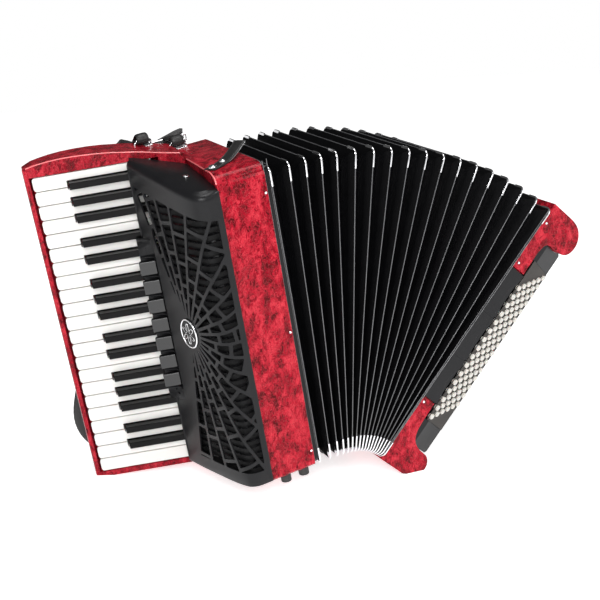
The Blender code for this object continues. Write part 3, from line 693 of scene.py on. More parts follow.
COVER_ROUND = 9.0
COVER_BASE = 4.0
COVER_START = 4.7
SHELL = 2.3
LINER_START = 26.0
HUB = (73.5, 209.0)
SPOKES = (-101, -93, -84, -75, -65, -55, -43, -30, -17, -3, 10, 23, 37, 51, 64, 76, 87, 96, 103, 109)
RINGS = (20.0, 46.0, 68.0, 99.0, 138.0, 184.0, 230.0)
SWITCHES = 7
SWITCH_PITCH = 26.2
SWITCH_FIRST = 130.0
SWITCH_ZONE = (7.8, 29.6, 110.5, 320.0)
TRAY_START, TRAY_END = 113.5, 135.2
TRAY_FLOOR, TRAY_TOP = 14.3, 32.4


def cover_line():
    """The cover's front face seen from above, as a finely sampled line with its arc lengths and outward normals."""
    points = [key_plan(KEY_SHOWN, 8.0), (-58, 96), (-50, 62), (-42, 30), (-34.5, 8), (-28, -1), (-18, -5),
              (WALL_SLANT * -5.0 - 0.3, -5.0)]
    dense = smooth_points([(*point, 0.0) for point in points], 280)
    lengths = [0.0]
    for a, b in zip(dense, dense[1:]):
        lengths.append(lengths[-1] + (b - a).length)
    return dense, lengths


COVER_POINTS, COVER_LENGTHS = cover_line()
COVER_END = COVER_LENGTHS[-1]


def cover_at(s):
    """Point and outward normal of the cover's face at an arc length."""
    s = min(max(s, 0.0), COVER_END)
    low, high = 0, len(COVER_LENGTHS) - 1
    while high - low > 1:
        middle = (low + high) // 2
        if COVER_LENGTHS[middle] <= s:
            low = middle
        else:
            high = middle
    share = (s - COVER_LENGTHS[low]) / (COVER_LENGTHS[high] - COVER_LENGTHS[low])
    point = COVER_POINTS[low].lerp(COVER_POINTS[high], share)
    before = COVER_POINTS[max(low - 3, 0)]
    after = COVER_POINTS[min(high + 3, len(COVER_POINTS) - 1)]
    along = (after - before).normalized()
    return point, Vector((along.y, -along.x, 0.0)).normalized()


def cover_top(x, y):
    """Height of the cover's top: two slanting planes that meet in a soft ridge."""
    a = 401.0 - 0.303 * (x + 2.0) + 0.0895 * y
    b = 401.0 + 0.09 * (x + 2.0) + 0.273 * y
    soft = 5.0
    return -soft * math.log(math.exp(-a / soft + 80.0) + math.exp(-b / soft + 80.0)) + 80.0 * soft


def clip_polygon(polygon, point, normal):
    """The part of a 2D polygon on the inner side of a line."""
    kept = []
    for i, here in enumerate(polygon):
        after = polygon[(i + 1) % len(polygon)]
        a = (here[0] - point[0]) * normal[0] + (here[1] - point[1]) * normal[1]
        b = (after[0] - point[0]) * normal[0] + (after[1] - point[1]) * normal[1]
        if a >= 0:
            kept.append(here)
        if (a > 0 > b) or (a < 0 < b):
            t = a / (a - b)
            kept.append((here[0] + (after[0] - here[0]) * t, here[1] + (after[1] - here[1]) * t))
    return kept


def area(polygon):
    """Area of a 2D polygon."""
    return abs(sum(a[0] * b[1] - b[0] * a[1] for a, b in zip(polygon, polygon[1:] + polygon[:1]))) / 2


def grille_openings():
    """Openings of the sunburst: cells between straight spokes and broken rings around the badge."""
    found = []
    bar, ring_bar = 2.0, 2.4
    for i, (start, stop) in enumerate(zip(SPOKES, SPOKES[1:])):
        a, b = math.radians(start), math.radians(stop)
        shift = (0.0, 10.0, -6.0, 5.0, 13.0)[i % 5]
        for inner, outer in zip(RINGS, RINGS[1:]):
            r0, r1 = inner + ring_bar + shift * (inner > 30), outer - ring_bar + shift * (outer > 30)
            cell = [(HUB[0] + r * math.cos(t), HUB[1] + r * math.sin(t)) for r, t in
                    ((r0, a), (r1, a), (r1 * 0.99, b), (r0 * 0.99, b))]
            cell = clip_polygon(cell, (HUB[0] - bar * math.sin(a), HUB[1] + bar * math.cos(a)),
                                (-math.sin(a), math.cos(a)))
            cell = clip_polygon(cell, (HUB[0] + bar * math.sin(b), HUB[1] - bar * math.cos(b)),
                                (math.sin(b), -math.cos(b))) if cell else cell
            middle = sum(p[1] for p in cell) / len(cell) if cell else 0.0
            left = 34.0 if SWITCH_ZONE[2] - 12 < middle < SWITCH_ZONE[3] + 12 else 12.0
            for point, normal in (((left, 0), (1, 0)), ((COVER_END - 8.0, 0), (-1, 0)), ((0, 24.0), (0, 1)),
                                  ((12.0, 394.0), (-0.22, -1))):
                cell = clip_polygon(cell, point, normal) if cell else cell
            if len(cell) > 2 and area(cell) > 14.0:
                found.append(cell)
    return found


def soften(polygon, cut=1.1):
    """A polygon with its corners cut, so that its openings look moulded."""
    made = []
    for i, here in enumerate(polygon):
        before, after = Vector(polygon[i - 1]), Vector(polygon[(i + 1) % len(polygon)])
        here = Vector(here)
        for other in (before, after):
            way = other - here
            made.append(here + way * min(0.3, cut / max(way.length, 0.01)))
    return [(point.x, point.y) for point in made]


def sheet_mesh(outline, holes, name):
    """A flat mesh in x and y from an outline with holes."""
    curve = bpy.data.curves.new(name, "CURVE")
    curve.dimensions = "2D"
    curve.fill_mode = "BOTH"
    for loop in [outline] + holes:
        spline = curve.splines.new("POLY")
        spline.points.add(len(loop) - 1)
        for point, (x, y) in zip(spline.points, loop):
            point.co = (x, y, 0.0, 1.0)
        spline.use_cyclic_u = True
    item = linked(name, curve)
    mesh = evaluated(item)
    bpy.data.objects.remove(item, do_unlink=True)
    return mesh


def cover_rows():
    """Arc lengths at which the cover's face is bent."""
    count = 62
    return [COVER_START + (COVER_END - COVER_START) * i / count for i in range(count + 1)]


def grille_cover():
    """The black cover: pierced front face, rounded top edge, flat top, lip over the keys and switch tray."""
    stops = cover_rows()
    tops = [cover_top(cover_at(s)[0].x, cover_at(s)[0].y) - COVER_ROUND for s in stops]
    low = COVER_BASE + 2.0
    outline = [(s, low) for s in stops] + [(s, top) for s, top in zip(stops[::-1], tops[::-1])]
    s0, s1, z0, z1 = SWITCH_ZONE
    scoop = 9.0
    zone = [(s0, z0 + scoop), (s0 + 3, z0), (s1 - 2, z0 - 6), (s1, z0 + 2), (s1, z1 - 2), (s1 - 2, z1 + 6),
            (s0 + 3, z1), (s0, z1 - scoop)]
    mesh = sheet_mesh(outline, [zone] + [soften(cell) for cell in grille_openings()], "grille")
    bm = bmesh.new()
    bm.from_mesh(mesh)
    for s in stops[1:-1]:
        bmesh.ops.bisect_plane(bm, geom=bm.verts[:] + bm.edges[:] + bm.faces[:], dist=1e-4, plane_co=(s, 0, 0),
                               plane_no=(1, 0, 0))
    for vert in bm.verts:
        point, _ = cover_at(vert.co.x)
        vert.co = Vector((point.x, point.y, vert.co.y)) * MM
    back = [key_plan(KEY_SHOWN + 6.0, 1.2), key_plan(192, 1.2), (WALL_SLANT * 106 - 0.3, 106.0),
            (WALL_SLANT * -5.0 - 0.3, -5.0)]
    spans = [(Vector(b) - Vector(a)).length for a, b in zip(back, back[1:])]

    def back_at(share):
        place = share * sum(spans)
        for (a, b), span in zip(zip(back, back[1:]), spans):
            if place <= span:
                return Vector(a).lerp(Vector(b), place / span)
            place -= span
        return Vector(back[-1])

    rows = []
    for i, s in enumerate(stops):
        point, normal = cover_at(s)
        base = tops[i]
        row = []
        for step in range(7):
            angle = math.radians(90 * step / 6)
            inward = COVER_ROUND * (1 - math.cos(angle)) * min(1.0, (len(stops) - 1 - i) / 5.0)
            row.append(Vector((point.x, point.y, base + COVER_ROUND * math.sin(angle))) - normal * inward)
        edge = row[-1].copy()
        target = back_at(i / (len(stops) - 1))
        for share in (0.08, 0.2, 0.4, 0.6, 0.8, 1.0):
            place = edge.xy.lerp(target, share)
            row.append(Vector((place.x, place.y, cover_top(place.x, place.y))))
        row[6].z = cover_top(row[6].x, row[6].y) - 0.3
        rows.append([bm.verts.new(item * MM) for item in row])
    foot = []
    for s in stops:
        point, normal = cover_at(s)
        strip = [Vector((point.x, point.y, low)), Vector((point.x, point.y, low - 1.4)) - normal * 0.6,
                 Vector((point.x, point.y, low - 2.0)) - normal * 2.2,
                 Vector((point.x, point.y, low - 2.0)) - normal * 16.0]
        foot.append([bm.verts.new(item * MM) for item in strip])
    for grid in (rows, foot):
        skin(bm, grid, flip=True)
    point, normal = cover_at(COVER_START)
    inner = Vector(key_plan(KEY_SHOWN + 9.0, 11.9)).to_3d()
    levels = [low + (tops[0] - low) * i / 40 for i in range(41)]
    lip = []
    for z in levels:
        lip.append([bm.verts.new(Vector((p.x, p.y, z)) * MM) for p in (point, point.lerp(inner, 0.5), inner)])
    skin(bm, lip)
    bmesh.ops.remove_doubles(bm, verts=bm.verts, dist=3e-5)
    made = add("cover_grille", finish_mesh(bm, "cover_grille", 50), SATIN, "treble", TREBLE,
               ("grille_cover",))
    thicken(made, SHELL)
    round_edges(made, 0.55, 2, 60)
    grille_liner(stops)
    switch_tray()
    badge()
    dome_screw("screw_cover_top", (-17.0, 52.0, cover_top(-17.0, 52.0)), (0.2, -0.05, 1.0), TREBLE, "treble", 4.0)


def grille_liner(stops):
    """Dark gauze from LINER_START on, clear of the key tails, and the glossy slats in front of it."""
    bm = bmesh.new()
    rows = []
    for s in [s for s in stops[1:-1] if s > LINER_START]:
        point, normal = cover_at(s)
        inner = point - normal * 9.0
        rows.append([bm.verts.new(Vector((inner.x, inner.y, z)) * MM)
                     for z in (8.0, 110.0, 215.0, 320.0, cover_top(inner.x, inner.y) - 12.0)])
    skin(bm, rows, flip=True)
    add("gauze_grille", finish_mesh(bm, "gauze_grille"), GAUZE, "treble", TREBLE)
    bm = bmesh.new()
    line = [cover_at(s) for s in stops if LINER_START < s < COVER_END - 4.0]
    for step in range(38):
        z = 26.0 + step * 9.6
        path = [Vector((p.x, p.y, z + 3.0 * i / len(line))) - n * 6.8 for i, (p, n) in enumerate(line)]
        if z > cover_top(path[-1].x, path[-1].y) - 16.0:
            continue
        sweep(bm, path, [(-1.5, -0.6), (0, 0.9), (1.5, -0.6)], lambda i: line[min(i, len(line) - 1)][1])
    add("slats_grille", finish_mesh(bm, "slats_grille", 30), GLOSS, "treble", TREBLE)


def switch_tray():
    """Recess under the register switches."""
    bm = bmesh.new()
    _, _, z0, z1 = SWITCH_ZONE
    outer, corner, top = (key_plan(*place) for place in (
        (TRAY_START, TRAY_FLOOR), (TRAY_END, TRAY_FLOOR), (TRAY_END, TRAY_TOP)))
    levels = [z0 - 7 + (z1 - z0 + 14) * i / 30 for i in range(31)]
    rows = []
    for level, z in enumerate(levels):
        ease = min(1.0, min(level, 30 - level) / 2.0)
        mid = Vector(corner).lerp((Vector(outer) + Vector(top)) / 2, 1 - ease)
        rows.append([bm.verts.new(Vector((p[0], p[1], z)) * MM) for p in (outer, mid, top)])
    skin(bm, rows)
    made = add("tray_switches", finish_mesh(bm, "tray_switches", 60), SATIN, "treble", TREBLE)
    thicken(made, 1.2)
    for index in range(1, SWITCHES + 1):
        refined(f"switch_{index}", f"register_switch_{index}", SWITCH, f"register_switch_{index}", 2.5, 5)
    bm = bmesh.new()
    for index in range(SWITCHES + 1):
        z = SWITCH_FIRST + (index - 0.5) * SWITCH_PITCH
        path = [Vector((*key_plan(along, out), z)) for along, out in
                ((114.5, 13.6), (118.0, 15.0), (123.0, 15.8), (128.0, 16.8), (132.0, 19.5), (134.6, 25.0))]
        sweep(bm, smooth_points(path, 16), [(1.9 * a, 1.5 * b) for a, b in round_section(1.0, 10)], Vector((0, 0, 1)))
    add("ribs_switches", finish_mesh(bm, "ribs_switches", 60), SATIN, "treble", TREBLE)


def badge():
    """A blank oval badge at the middle of the sunburst."""
    point, normal = cover_at(HUB[0])
    across = Vector((0, 0, 1)).cross(normal)
    frame = frame_at(across, Vector((0, 0, 1)), normal, Vector((point.x, point.y, HUB[1])) * MM)
    profile = [(0, 2.6), (0.55, 2.4), (0.86, 1.8), (0.9, 0.6), (0.9, -0.5), (0, -0.5)]
    plate = turned([(r * 19.5, h) for r, h in profile], 48)
    rim_path = [Vector((17.9 * math.cos(2 * math.pi * i / 56), 17.9 * math.sin(2 * math.pi * i / 56), 1.2))
                for i in range(56)]
    squeeze = Matrix.Diagonal((0.88, 1.06, 1.0, 1.0))
    add("badge_plate", finish_mesh(plate, "badge_plate", 50), SATIN, "treble", TREBLE @ frame @ squeeze)
    swept("badge_rim", rim_path, round_section(1.25, 10), UP, CHROME, "treble", TREBLE @ frame @ squeeze, True)
    bm = bmesh.new()
    for petal in range(6):
        turn = Matrix.Rotation(math.radians(60 * petal), 3, "Z")
        loop = [turn @ Vector((2.6 * math.sin(a), 8.4 - 4.8 * math.cos(a), 2.1))
                for a in (2 * math.pi * i / 20 for i in range(20))]
        sweep(bm, loop, round_section(0.55, 6), Vector((0, 0, 1)), True)
    add("badge_rosette", finish_mesh(bm, "badge_rosette", 70), CHROME, "treble", TREBLE @ frame @ squeeze)


# ---------------------------------------------------------------- bellows

RIDGE_ROUND = 8.0
SECTION_BODIES = ("treble", "bellows_a", "bellows_b", "bellows_c", "bass")


def fold_frames():
    """Angle and lower front point of each ridge's plane, in the treble frame."""
    angles = list(FIRST_ANGLES)
    rest = FOLDS - len(FIRST_ANGLES) + 1
    mean = (FAN - FIRST_ANGLES[-1]) / rest
    for step in range(rest):
        share = 2 * (step + 0.5) / rest - 1
        angles.append(angles[-1] + mean * (1 + FAN_GROWTH * share))
    frames = [(0.0, BELLOWS_X, -0.5)]
    for fold in range(FOLDS):
        _, x, z = frames[-1]
        middle = math.radians((angles[fold] + angles[fold + 1]) / 2)
        pitch = FOLD_PITCH + LOOSE_PITCH * LOOSE_DECAY ** fold
        frames.append((math.radians(angles[fold + 1]), x + pitch * math.cos(middle), z - pitch * math.sin(middle)))
    return frames


RIDGES = fold_frames()


def in_plane(plane, along, y, shift=0.0):
    """A point of a ridge's plane in the treble frame: up the plane, back, and off the plane."""
    angle, x, z = plane
    return Vector((x + shift * math.cos(angle) + along * math.sin(angle), y,
                   z - shift * math.sin(angle) + along * math.cos(angle)))


def section_of(fold):
    """Bodies either side of the section that a fold belongs to, and its first and last ridge."""
    first = 0
    for number, last in enumerate(SECTION_ENDS):
        if fold < last:
            return SECTION_BODIES[number], SECTION_BODIES[number + 1], first, last
        first = last
    return None


def share_of(angle, first, last):
    """The blend position whose smoothed weight is this plane's share of its section's turn."""
    weight = (angle - RIDGES[first][0]) / (RIDGES[last][0] - RIDGES[first][0])
    low, high = 0.0, 1.0
    for _ in range(40):
        middle = (low + high) / 2
        if middle * middle * (3 - 2 * middle) < weight:
            low = middle
        else:
            high = middle
    return (low + high) / 2


def bend(made, near, far, depth):
    """Bake a piece's place into its mesh; the rate from near to far over a depth is worked out but not used, so the
    piece is not blended.
    """
    rate = (far - near) / depth
    if abs(rate) < 1e-7:
        rate = 1e-6
    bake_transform(made)


def free(name, mesh, materials):
    """A finished mesh already in world space, without a parent."""
    made = linked(name, mesh)
    for item in materials:
        mesh.materials.append(item)
    return made


def pleat_panel(name, ridge, valley, side):
    """One side of a half fold: a band of tape along the ridge, then glossy cloth down to the valley."""
    length, width = BELLOWS_LENGTH, DEPTH
    cut, chord, band = RIDGE_ROUND, 2.9, 7.0
    span = length if side in ("front", "back") else width
    depths = (0.0, chord, band, band + 0.25, PLEAT)
    bm = bmesh.new()
    rows = []
    for number, depth in enumerate(depths):
        inset = cut if number == 0 else depth
        share = depth / PLEAT
        swell = 0.22 if number in (1, 2) else 0.0
        row = []
        for step in range(13):
            place = inset + (span - 2 * inset) * step / 12
            corners = []
            for plane in (ridge, valley):
                if side == "front":
                    corners.append(in_plane(plane, place, depth - swell))
                elif side == "back":
                    corners.append(in_plane(plane, place, width - depth + swell))
                elif side == "top":
                    corners.append(in_plane(plane, length - depth + swell, place))
                else:
                    corners.append(in_plane(plane, depth - swell, place))
            row.append(bm.verts.new((TREBLE @ (corners[0].lerp(corners[1], share) * MM))))
        rows.append(row)
    for number, (here, after) in enumerate(zip(rows, rows[1:])):
        for i in range(12):
            face = bm.faces.new((here[i], here[i + 1], after[i + 1], after[i]))
            face.material_index = 0 if number < 3 else 1
    mesh = bpy.data.meshes.new(name)
    bm.to_mesh(mesh)
    bm.free()
    mesh.shade_smooth()
    mesh.set_sharp_from_angle(angle=math.radians(20))
    return free(name, mesh, [TAPE, CLOTH])


def bellows_pleats():
    """All half folds, each baked in place without a body."""
    for fold in range(FOLDS):
        a, b, first, last = section_of(fold)
        middle = tuple((one + two) / 2 for one, two in zip(RIDGES[fold], RIDGES[fold + 1]))
        valley_share = share_of(middle[0], first, last)
        for half, ridge in (("a", RIDGES[fold]), ("b", RIDGES[fold + 1])):
            ridge_share = share_of(ridge[0], first, last)
            for side in ("front", "back", "top", "bottom"):
                made = pleat_panel(f"pleat_{fold + 1:02d}{half}_{side}", ridge, middle, side)
                if side == "front":
                    origin, way, depth = Vector((0, 0, 0)), Vector((0, 1, 0)), PLEAT
                elif side == "back":
                    origin, way, depth = Vector((0, DEPTH, 0)), Vector((0, -1, 0)), PLEAT
                else:
                    near = BELLOWS_LENGTH if side == "top" else 0.0
                    far = BELLOWS_LENGTH - PLEAT if side == "top" else PLEAT
                    origin = in_plane(ridge, near, 0)
                    reach = in_plane(middle, far, 0) - origin
                    way, depth = reach.normalized(), reach.length
                bend(made, ridge_share, valley_share, depth)
                if fold == first and half == "a" and side == "front":
                    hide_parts(f"bellows_section_{SECTION_BODIES.index(a) + 1}")


def ridge_loop(plane, radius, inset=0.0):
    """Rounded rectangle round a ridge."""
    loop = rounded_rectangle((inset, inset), (BELLOWS_LENGTH - inset, DEPTH - inset), radius, 6)
    return [in_plane(plane, along, y) for along, y in loop]


def bellows_edges():
    """Bead along every ridge and chrome caps on its four corners."""
    for index, plane in enumerate(RIDGES):
        angle = plane[0]
        normal = Vector((math.cos(angle), 0, -math.sin(angle)))
        bm = bmesh.new()
        sweep(bm, ridge_loop(plane, RIDGE_ROUND, 0.2), round_section(0.62, 6), normal, True)
        mesh = finish_mesh(bm, "bead", 70)
        mesh.transform(TREBLE)
        made = free(f"bead_ridge_{index + 1:02d}", mesh, [EDGE])
        settle(made)
        bm = bmesh.new()
        slopes = []
        for other in (index - 1, index + 1):
            if 0 <= other <= FOLDS:
                gap = [(in_plane(RIDGES[other], along, 0) - in_plane(plane, along, 0)).length / 2
                       for along in (0.0, BELLOWS_LENGTH)]
                slopes.append([item / PLEAT for item in gap])
        low, high = (min(item[i] for item in slopes) for i in (0, 1))
        r, arm = RIDGE_ROUND, 24.0
        for near_along, near_y, slope in ((0, 0, low), (BELLOWS_LENGTH, 0, high), (0, DEPTH, low),
                                          (BELLOWS_LENGTH, DEPTH, high)):
            u = 1 if near_along == 0 else -1
            v = 1 if near_y == 0 else -1
            corner = [(near_along + u * arm, near_y)]
            corner += [(near_along + u * (r - r * math.sin(math.radians(t))),
                        near_y + v * (r - r * math.cos(math.radians(t)))) for t in range(0, 91, 15)]
            corner.append((near_along, near_y + v * arm * 0.8))
            path = [in_plane(plane, *point) for point in corner]
            centre = in_plane(plane, near_along + u * 60, near_y + v * 60)
            wide = 0.75 + min(slope, 0.34) * 4.6
            section = [(-1.0, 0.9), (-0.5, 1.25), (0.5, 1.25), (1.0, 0.9), (wide, -4.6), (-wide, -4.6)]
            sweep_corner(bm, path, section, normal, centre)
        mesh = finish_mesh(bm, "corners", 35)
        mesh.transform(TREBLE)
        made = free(f"corner_caps_{index + 1:02d}", mesh, [CHROME])
        settle(made)


def sweep_corner(bm, path, section, normal, centre):
    """Sweep a cap's section round a corner, its height always pointing away from the bellows' middle."""
    rows = []
    for i, point in enumerate(path):
        along = (path[min(i + 1, len(path) - 1)] - path[max(i - 1, 0)]).normalized()
        out = normal.cross(along).normalized()
        if out.dot(point - centre) < 0:
            out = -out
        rows.append([bm.verts.new((point + normal * a + out * o) * MM) for a, o in section])
    skin_tube(bm, rows)


def settle(made):
    """Bake a ridge piece's place into its mesh."""
    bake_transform(made)


# ---------------------------------------------------------------- bass end

def board_frame():
    """Frame of the button board: x across it from the front, y up the bass end, z out of the board."""
    across = Vector((BOARD_OUTER - BOARD_INNER, BOARD_BACK - BOARD_FRONT, 0.0)).normalized()
    up = Vector((0.0, 0.0, 1.0))
    return frame_at(across, up, across.cross(up), Vector((BOARD_INNER, BOARD_FRONT, BOARD_LOW)) * MM)


def bass_profile():
    """Outline of the bass casing seen from the front, its lobes drawn as smooth curves."""
    upper = [(40, BASS_HEIGHT), (50, 413.8), (59, 410.3), (66, 404), (70.8, 396), (72.2, 387.5), (70.6, 378.5),
             (65.5, 371.5), (57.5, 368), (48, 367.3), (39, 367.2), (31.5, 366), (26.8, 362.2), (24.2, 355.5),
             (23.4, 346), (23.4, 334), (23.6, 322), (24, COVER_HIGH)]
    lower = [(BASE_DEPTH, COVER_LOW), (22.6, 76), (23.4, 62), (26, 51), (30.5, 44), (37, 39.4), (45, 36.8), (52, 36.2)]
    curves = [[(point.x, point.y) for point in smooth_points([(x, z, 0.0) for x, z in line], 3 * len(line))]
              for line in (upper, lower)]
    return [(0.3, BASS_HEIGHT)] + curves[0] + [(BASE_DEPTH, COVER_HIGH)] + curves[1] + arc(
        (55.5, 19.5), 16.5, 75, -75, 20) + [(44, -3.0), (0.3, -3.0)]


def bass_end():
    """Casing, cover, board, buttons and their fittings."""
    body = prism(bass_profile()[::-1], 0.0, DEPTH, upright=True)
    notch = block((-5, -5, COVER_LOW - 1), (60, 5, COVER_HIGH + 1))
    inside = block((-5, 10, 12), (14, DEPTH - 10, BASS_HEIGHT - 12))
    ground = block((-600, -200, -200), (800, 400, 0))
    ground.transform(BASS.inverted())
    mesh = carve(body, notch, inside, ground)
    bm = bmesh.new()
    bm.from_mesh(mesh)
    join_flat(bm)
    casing = add("casing_bass", finish_mesh(bm, "casing_bass"), PEARL, "bass", BASS, ("bass_casing",))
    round_edges(casing, 1.8, 4)
    refined("cover_bass", "bass_cover", SATIN, "bass", 1.0, 3)
    board = BASS @ board_frame()
    left, right, top = BOARD_MARGIN, BOARD_WIDTH - BOARD_SIDE_MARGIN, BOARD_HEIGHT - BOARD_MARGIN
    outline = [(left, left), (right, left), (right, top), (left, top)]
    holes = [arc((x, y), BUTTON_RADIUS + HOLE_CLEARANCE, 0, 345, 23) for x, y in button_places()]
    plate = sheet_mesh(outline, holes, "board")
    plate.transform(Matrix.Diagonal((MM, MM, MM, 1.0)))
    plate.transform(Matrix.Translation((0, 0, -0.2 * MM)))
    made = add("board_buttons", plate, BOARD, "bass", board)
    thicken(made, 0.9, 1.0)
    profile = [(0, BUTTON_PROUD)] + [(r * BUTTON_RADIUS, BUTTON_PROUD - d) for r, d in
                                     ((0.5, 0.1), (0.78, 0.32), (0.93, 0.75), (1.0, 1.5))] + [
        (BUTTON_RADIUS, BUTTON_FOOT), (BUTTON_RADIUS * 0.5, BUTTON_FOOT)]
    bm = bmesh.new()
    for x, y in button_places():
        one = turned(profile + [(0, BUTTON_FOOT)], 20)
        one.transform(Matrix.Translation(Vector((x, y, 0)) * MM))
        piece = bpy.data.meshes.new("one")
        one.to_mesh(piece)
        one.free()
        bm.from_mesh(piece)
        bpy.data.meshes.remove(piece)
    add("buttons_bass", finish_mesh(bm, "buttons_bass", 50), CREAM, "bass_button_set", board,
        ("bass_button_set",))
    refined("air_release", "air_button", CHROME, "air_button", 0.8, 3)
    for number, (p, q) in enumerate(((5.5, 321.0), (6.5, 387.0), (5.0, 93.0)), 1):
        dome_screw(f"pin_bass_{number}", (p, 0.1, q), (0, -1, 0), BASS, "bass", 1.8)
    front_strip()


def button_places():
    """Middles of the 96 buttons on the board."""
    return [(ROW_FIRST + row * ROW_STEP, BUTTON_FIRST + column * BUTTON_STEP + row * ROW_SHIFT)
            for column in range(BUTTON_COLUMNS) for row in range(BUTTON_ROWS)]


def front_strip():
    """Three satin panels along the front of the bass end, each scooped for the fingers."""
    third = (COVER_HIGH - COVER_LOW) / 3
    for number in range(3):
        low = COVER_LOW + number * third + 0.9
        high = low + third - 1.8
        inner, outer = 0.6, STRIP_OUTER
        dip = [(outer - SCOOP_DEPTH * math.sin(math.pi * i / 12) ** 2, low + (high - low) * (0.10 + 0.80 * i / 12))
               for i in range(13)]
        bm = prism([(inner, low), (outer, low)] + dip + [(outer, high), (inner, high)], 0.0, 2.2, upright=True)
        made = add(f"strip_panel_{number + 1}", finish_mesh(bm, "strip"), SATIN, "bass", BASS)
        round_edges(made, 0.9, 3)
    for number, shift in enumerate((-0.2, -1.6), 1):
        line = [(shift, 1.4, 6.0), (shift, 1.4, 150), (shift, 1.4, 260), (shift, 1.4, 404.0)]
        bead(f"trim_bass_{number}", line, 0.55, EDGE, "bass", BASS, 10)


# ---------------------------------------------------------------- straps and fittings

def strap_mesh(route, facing, width, thick, samples, edge, across=None):
    """A leather strap's body along a route: flat inside, crowned outside, with rounded edges."""
    path = smooth_points(route, samples)
    half = width / 2
    section = [(-half, 0.0), (-half + edge * thick, -thick / 2), (half - edge * thick, -thick / 2), (half, 0.0),
               (half - edge * thick, thick * 0.36), (half * 0.5, thick * 0.5), (0, thick * 0.5),
               (-half * 0.5, thick * 0.5), (-half + edge * thick, thick * 0.36)]
    bm = bmesh.new()
    rows = []
    for i, point in enumerate(path):
        along = (path[min(i + 1, len(path) - 1)] - path[max(i - 1, 0)]).normalized()
        side = Vector(across) if across else along.cross(Vector(facing)).normalized()
        out = side.cross(along).normalized()
        rows.append([bm.verts.new((point + side * a + out * o) * MM) for a, o in section])
    skin_tube(bm, rows)
    return bm, path


def stitches(name, route, facing, offset, lift, body, parent, samples, pitch=5.0, length=3.2):
    """A row of thread stitches along a strap's face."""
    path = smooth_points(route, samples * 4)
    facing = Vector(facing)
    bm = bmesh.new()
    run = 0.0
    for a, b in zip(path, path[1:]):
        run += (b - a).length
        if run < pitch:
            continue
        run = 0.0
        along = (b - a).normalized()
        side = along.cross(facing).normalized()
        out = side.cross(along).normalized()
        middle = a + side * offset + out * lift
        points = [middle - along * length / 2 - out * 0.35, middle, middle + along * length / 2 - out * 0.35]
        sweep(bm, points, round_section(0.32, 5), out)
    return add(name, finish_mesh(bm, name, 70), THREAD, body, parent)


def strap(name, route, facing, size, samples, body, parent, slot=None, replaces=(), edge=0.4, across=None):
    """A finished leather strap of a width and thickness, and its smooth path."""
    bm, path = strap_mesh(route, facing, *size, samples, edge, across=across)
    return add(name, finish_mesh(bm, name, 60), LEATHER, body, parent, replaces), path


def seams(name, route, facing, half, lift, body, parent, samples, *spacing):
    """A row of stitches along each side of a strap."""
    for side, where in ((-half, "left"), (half, "right")):
        stitches(f"stitch_{name}_{where}", route, facing, side, lift, body, parent, samples, *spacing)


def shoulder_straps():
    """Two padded leather straps behind the treble end."""
    inner = [(20, 196, 425), (26, 214, 398), (34, 226, 320), (38, 230, 210), (36, 222, 110), (30, 200, 42),
             (28, 188, 26)]
    outer = [(-22, 205, 424), (-36, 224, 398), (-66, 236, 318), (-102, 240, 214), (-140, 234, 120),
             (-158, 229, 66), (-136, 224, 30), (-86, 218, 20), (-40, 206, 20)]
    for number, route in enumerate((outer, inner), 1):
        made, _ = strap(f"strap_shoulder_{number}", route, (0, 1, 0), (46.0, 7.0), 72, "treble", TREBLE,
                        "shoulder_strap", (f"shoulder_strap_{number}",), 0.42)
        seams(f"shoulder_{number}", route, (0, 1, 0), 19.2, 2.9, "treble", TREBLE, 72)


def strap_stub(name, x, y, top, tail):
    """Bracket for a shoulder strap: chrome saddle, standing ring and the folded leather tab that holds the strap."""
    bm = block((x - 11, y - 8, top - 0.6), (x + 11, y + 8, top + 1.2))
    made = add(f"saddle_{name}", finish_mesh(bm, "saddle"), CHROME, "treble", TREBLE)
    round_edges(made, 0.6, 3)
    ring = [Vector((x + 11.5 * math.cos(math.radians(t)), y, top + 1.5 + 8.5 * math.sin(math.radians(t))))
            for t in range(-12, 193, 10)]
    swept(f"ring_{name}", ring, round_section(1.4, 10), BACK, CHROME, "treble", TREBLE)
    loop = [(x, y - 1.0, top + 3.6), (x, y - 4.6, top + 6.5), (x, y - 4.2, top + 12.5), (x, y + 1.5, top + 15.2),
            (x, y + 9.0, top + 11.0), tail]
    strap(f"stub_{name}", loop, None, (16.0, 3.2), 30, "treble", TREBLE, across=(1, 0, 0))
    band = [Vector((a, y + b, top + 7.6))
            for a, b in ((x - 8.6, -6.4), (x + 8.6, -6.4), (x + 8.6, 8.6), (x - 8.6, 8.6))]
    swept(f"keeper_{name}", band, [(-2.0, -0.5), (-2.0, 0.5), (2.0, 0.5), (2.0, -0.5)], UP, LEATHER, "treble", TREBLE,
          True, 40)
    for number, shift in enumerate((-9.0, 9.0), 1):
        dome_screw(f"screw_{name}_{number}", (x + shift, y - 5.0, top + 1.2), (0, 0, 1), TREBLE, "treble", 1.6)
    wide = [(tail[0] + a, tail[1] + 1.5, tail[2] + b) for a, b in ((-25, -9), (-25, -2), (25, -2), (25, -9))]
    swept(f"loop_{name}", [Vector(point) for point in wide], round_section(1.6), BACK, CHROME, "treble", TREBLE, True)


def strap_foot(name, place, way):
    """Lower end of a shoulder strap: chrome roller buckle and the tab behind it."""
    along = Vector(way).normalized()
    side = along.cross(Vector((0, 1, 0))).normalized()
    start = Vector(place)
    corners = [start + side * a + along * b for a, b in ((-26, -5), (26, -5), (26, 9), (-26, 9))]
    swept(f"buckle_{name}", corners, round_section(1.6), BACK, CHROME, "treble", TREBLE, True)
    tab = [start + along * 4.0 + Vector((0, 3.0, 0)), start + along * 14.0 + Vector((0, -4.0, 0)),
           start + along * 26.0 + Vector((0, -9.0, 0))]
    strap(f"tab_{name}", tab, (0, 1, 0), (20.0, 3.0), 16, "treble", TREBLE)


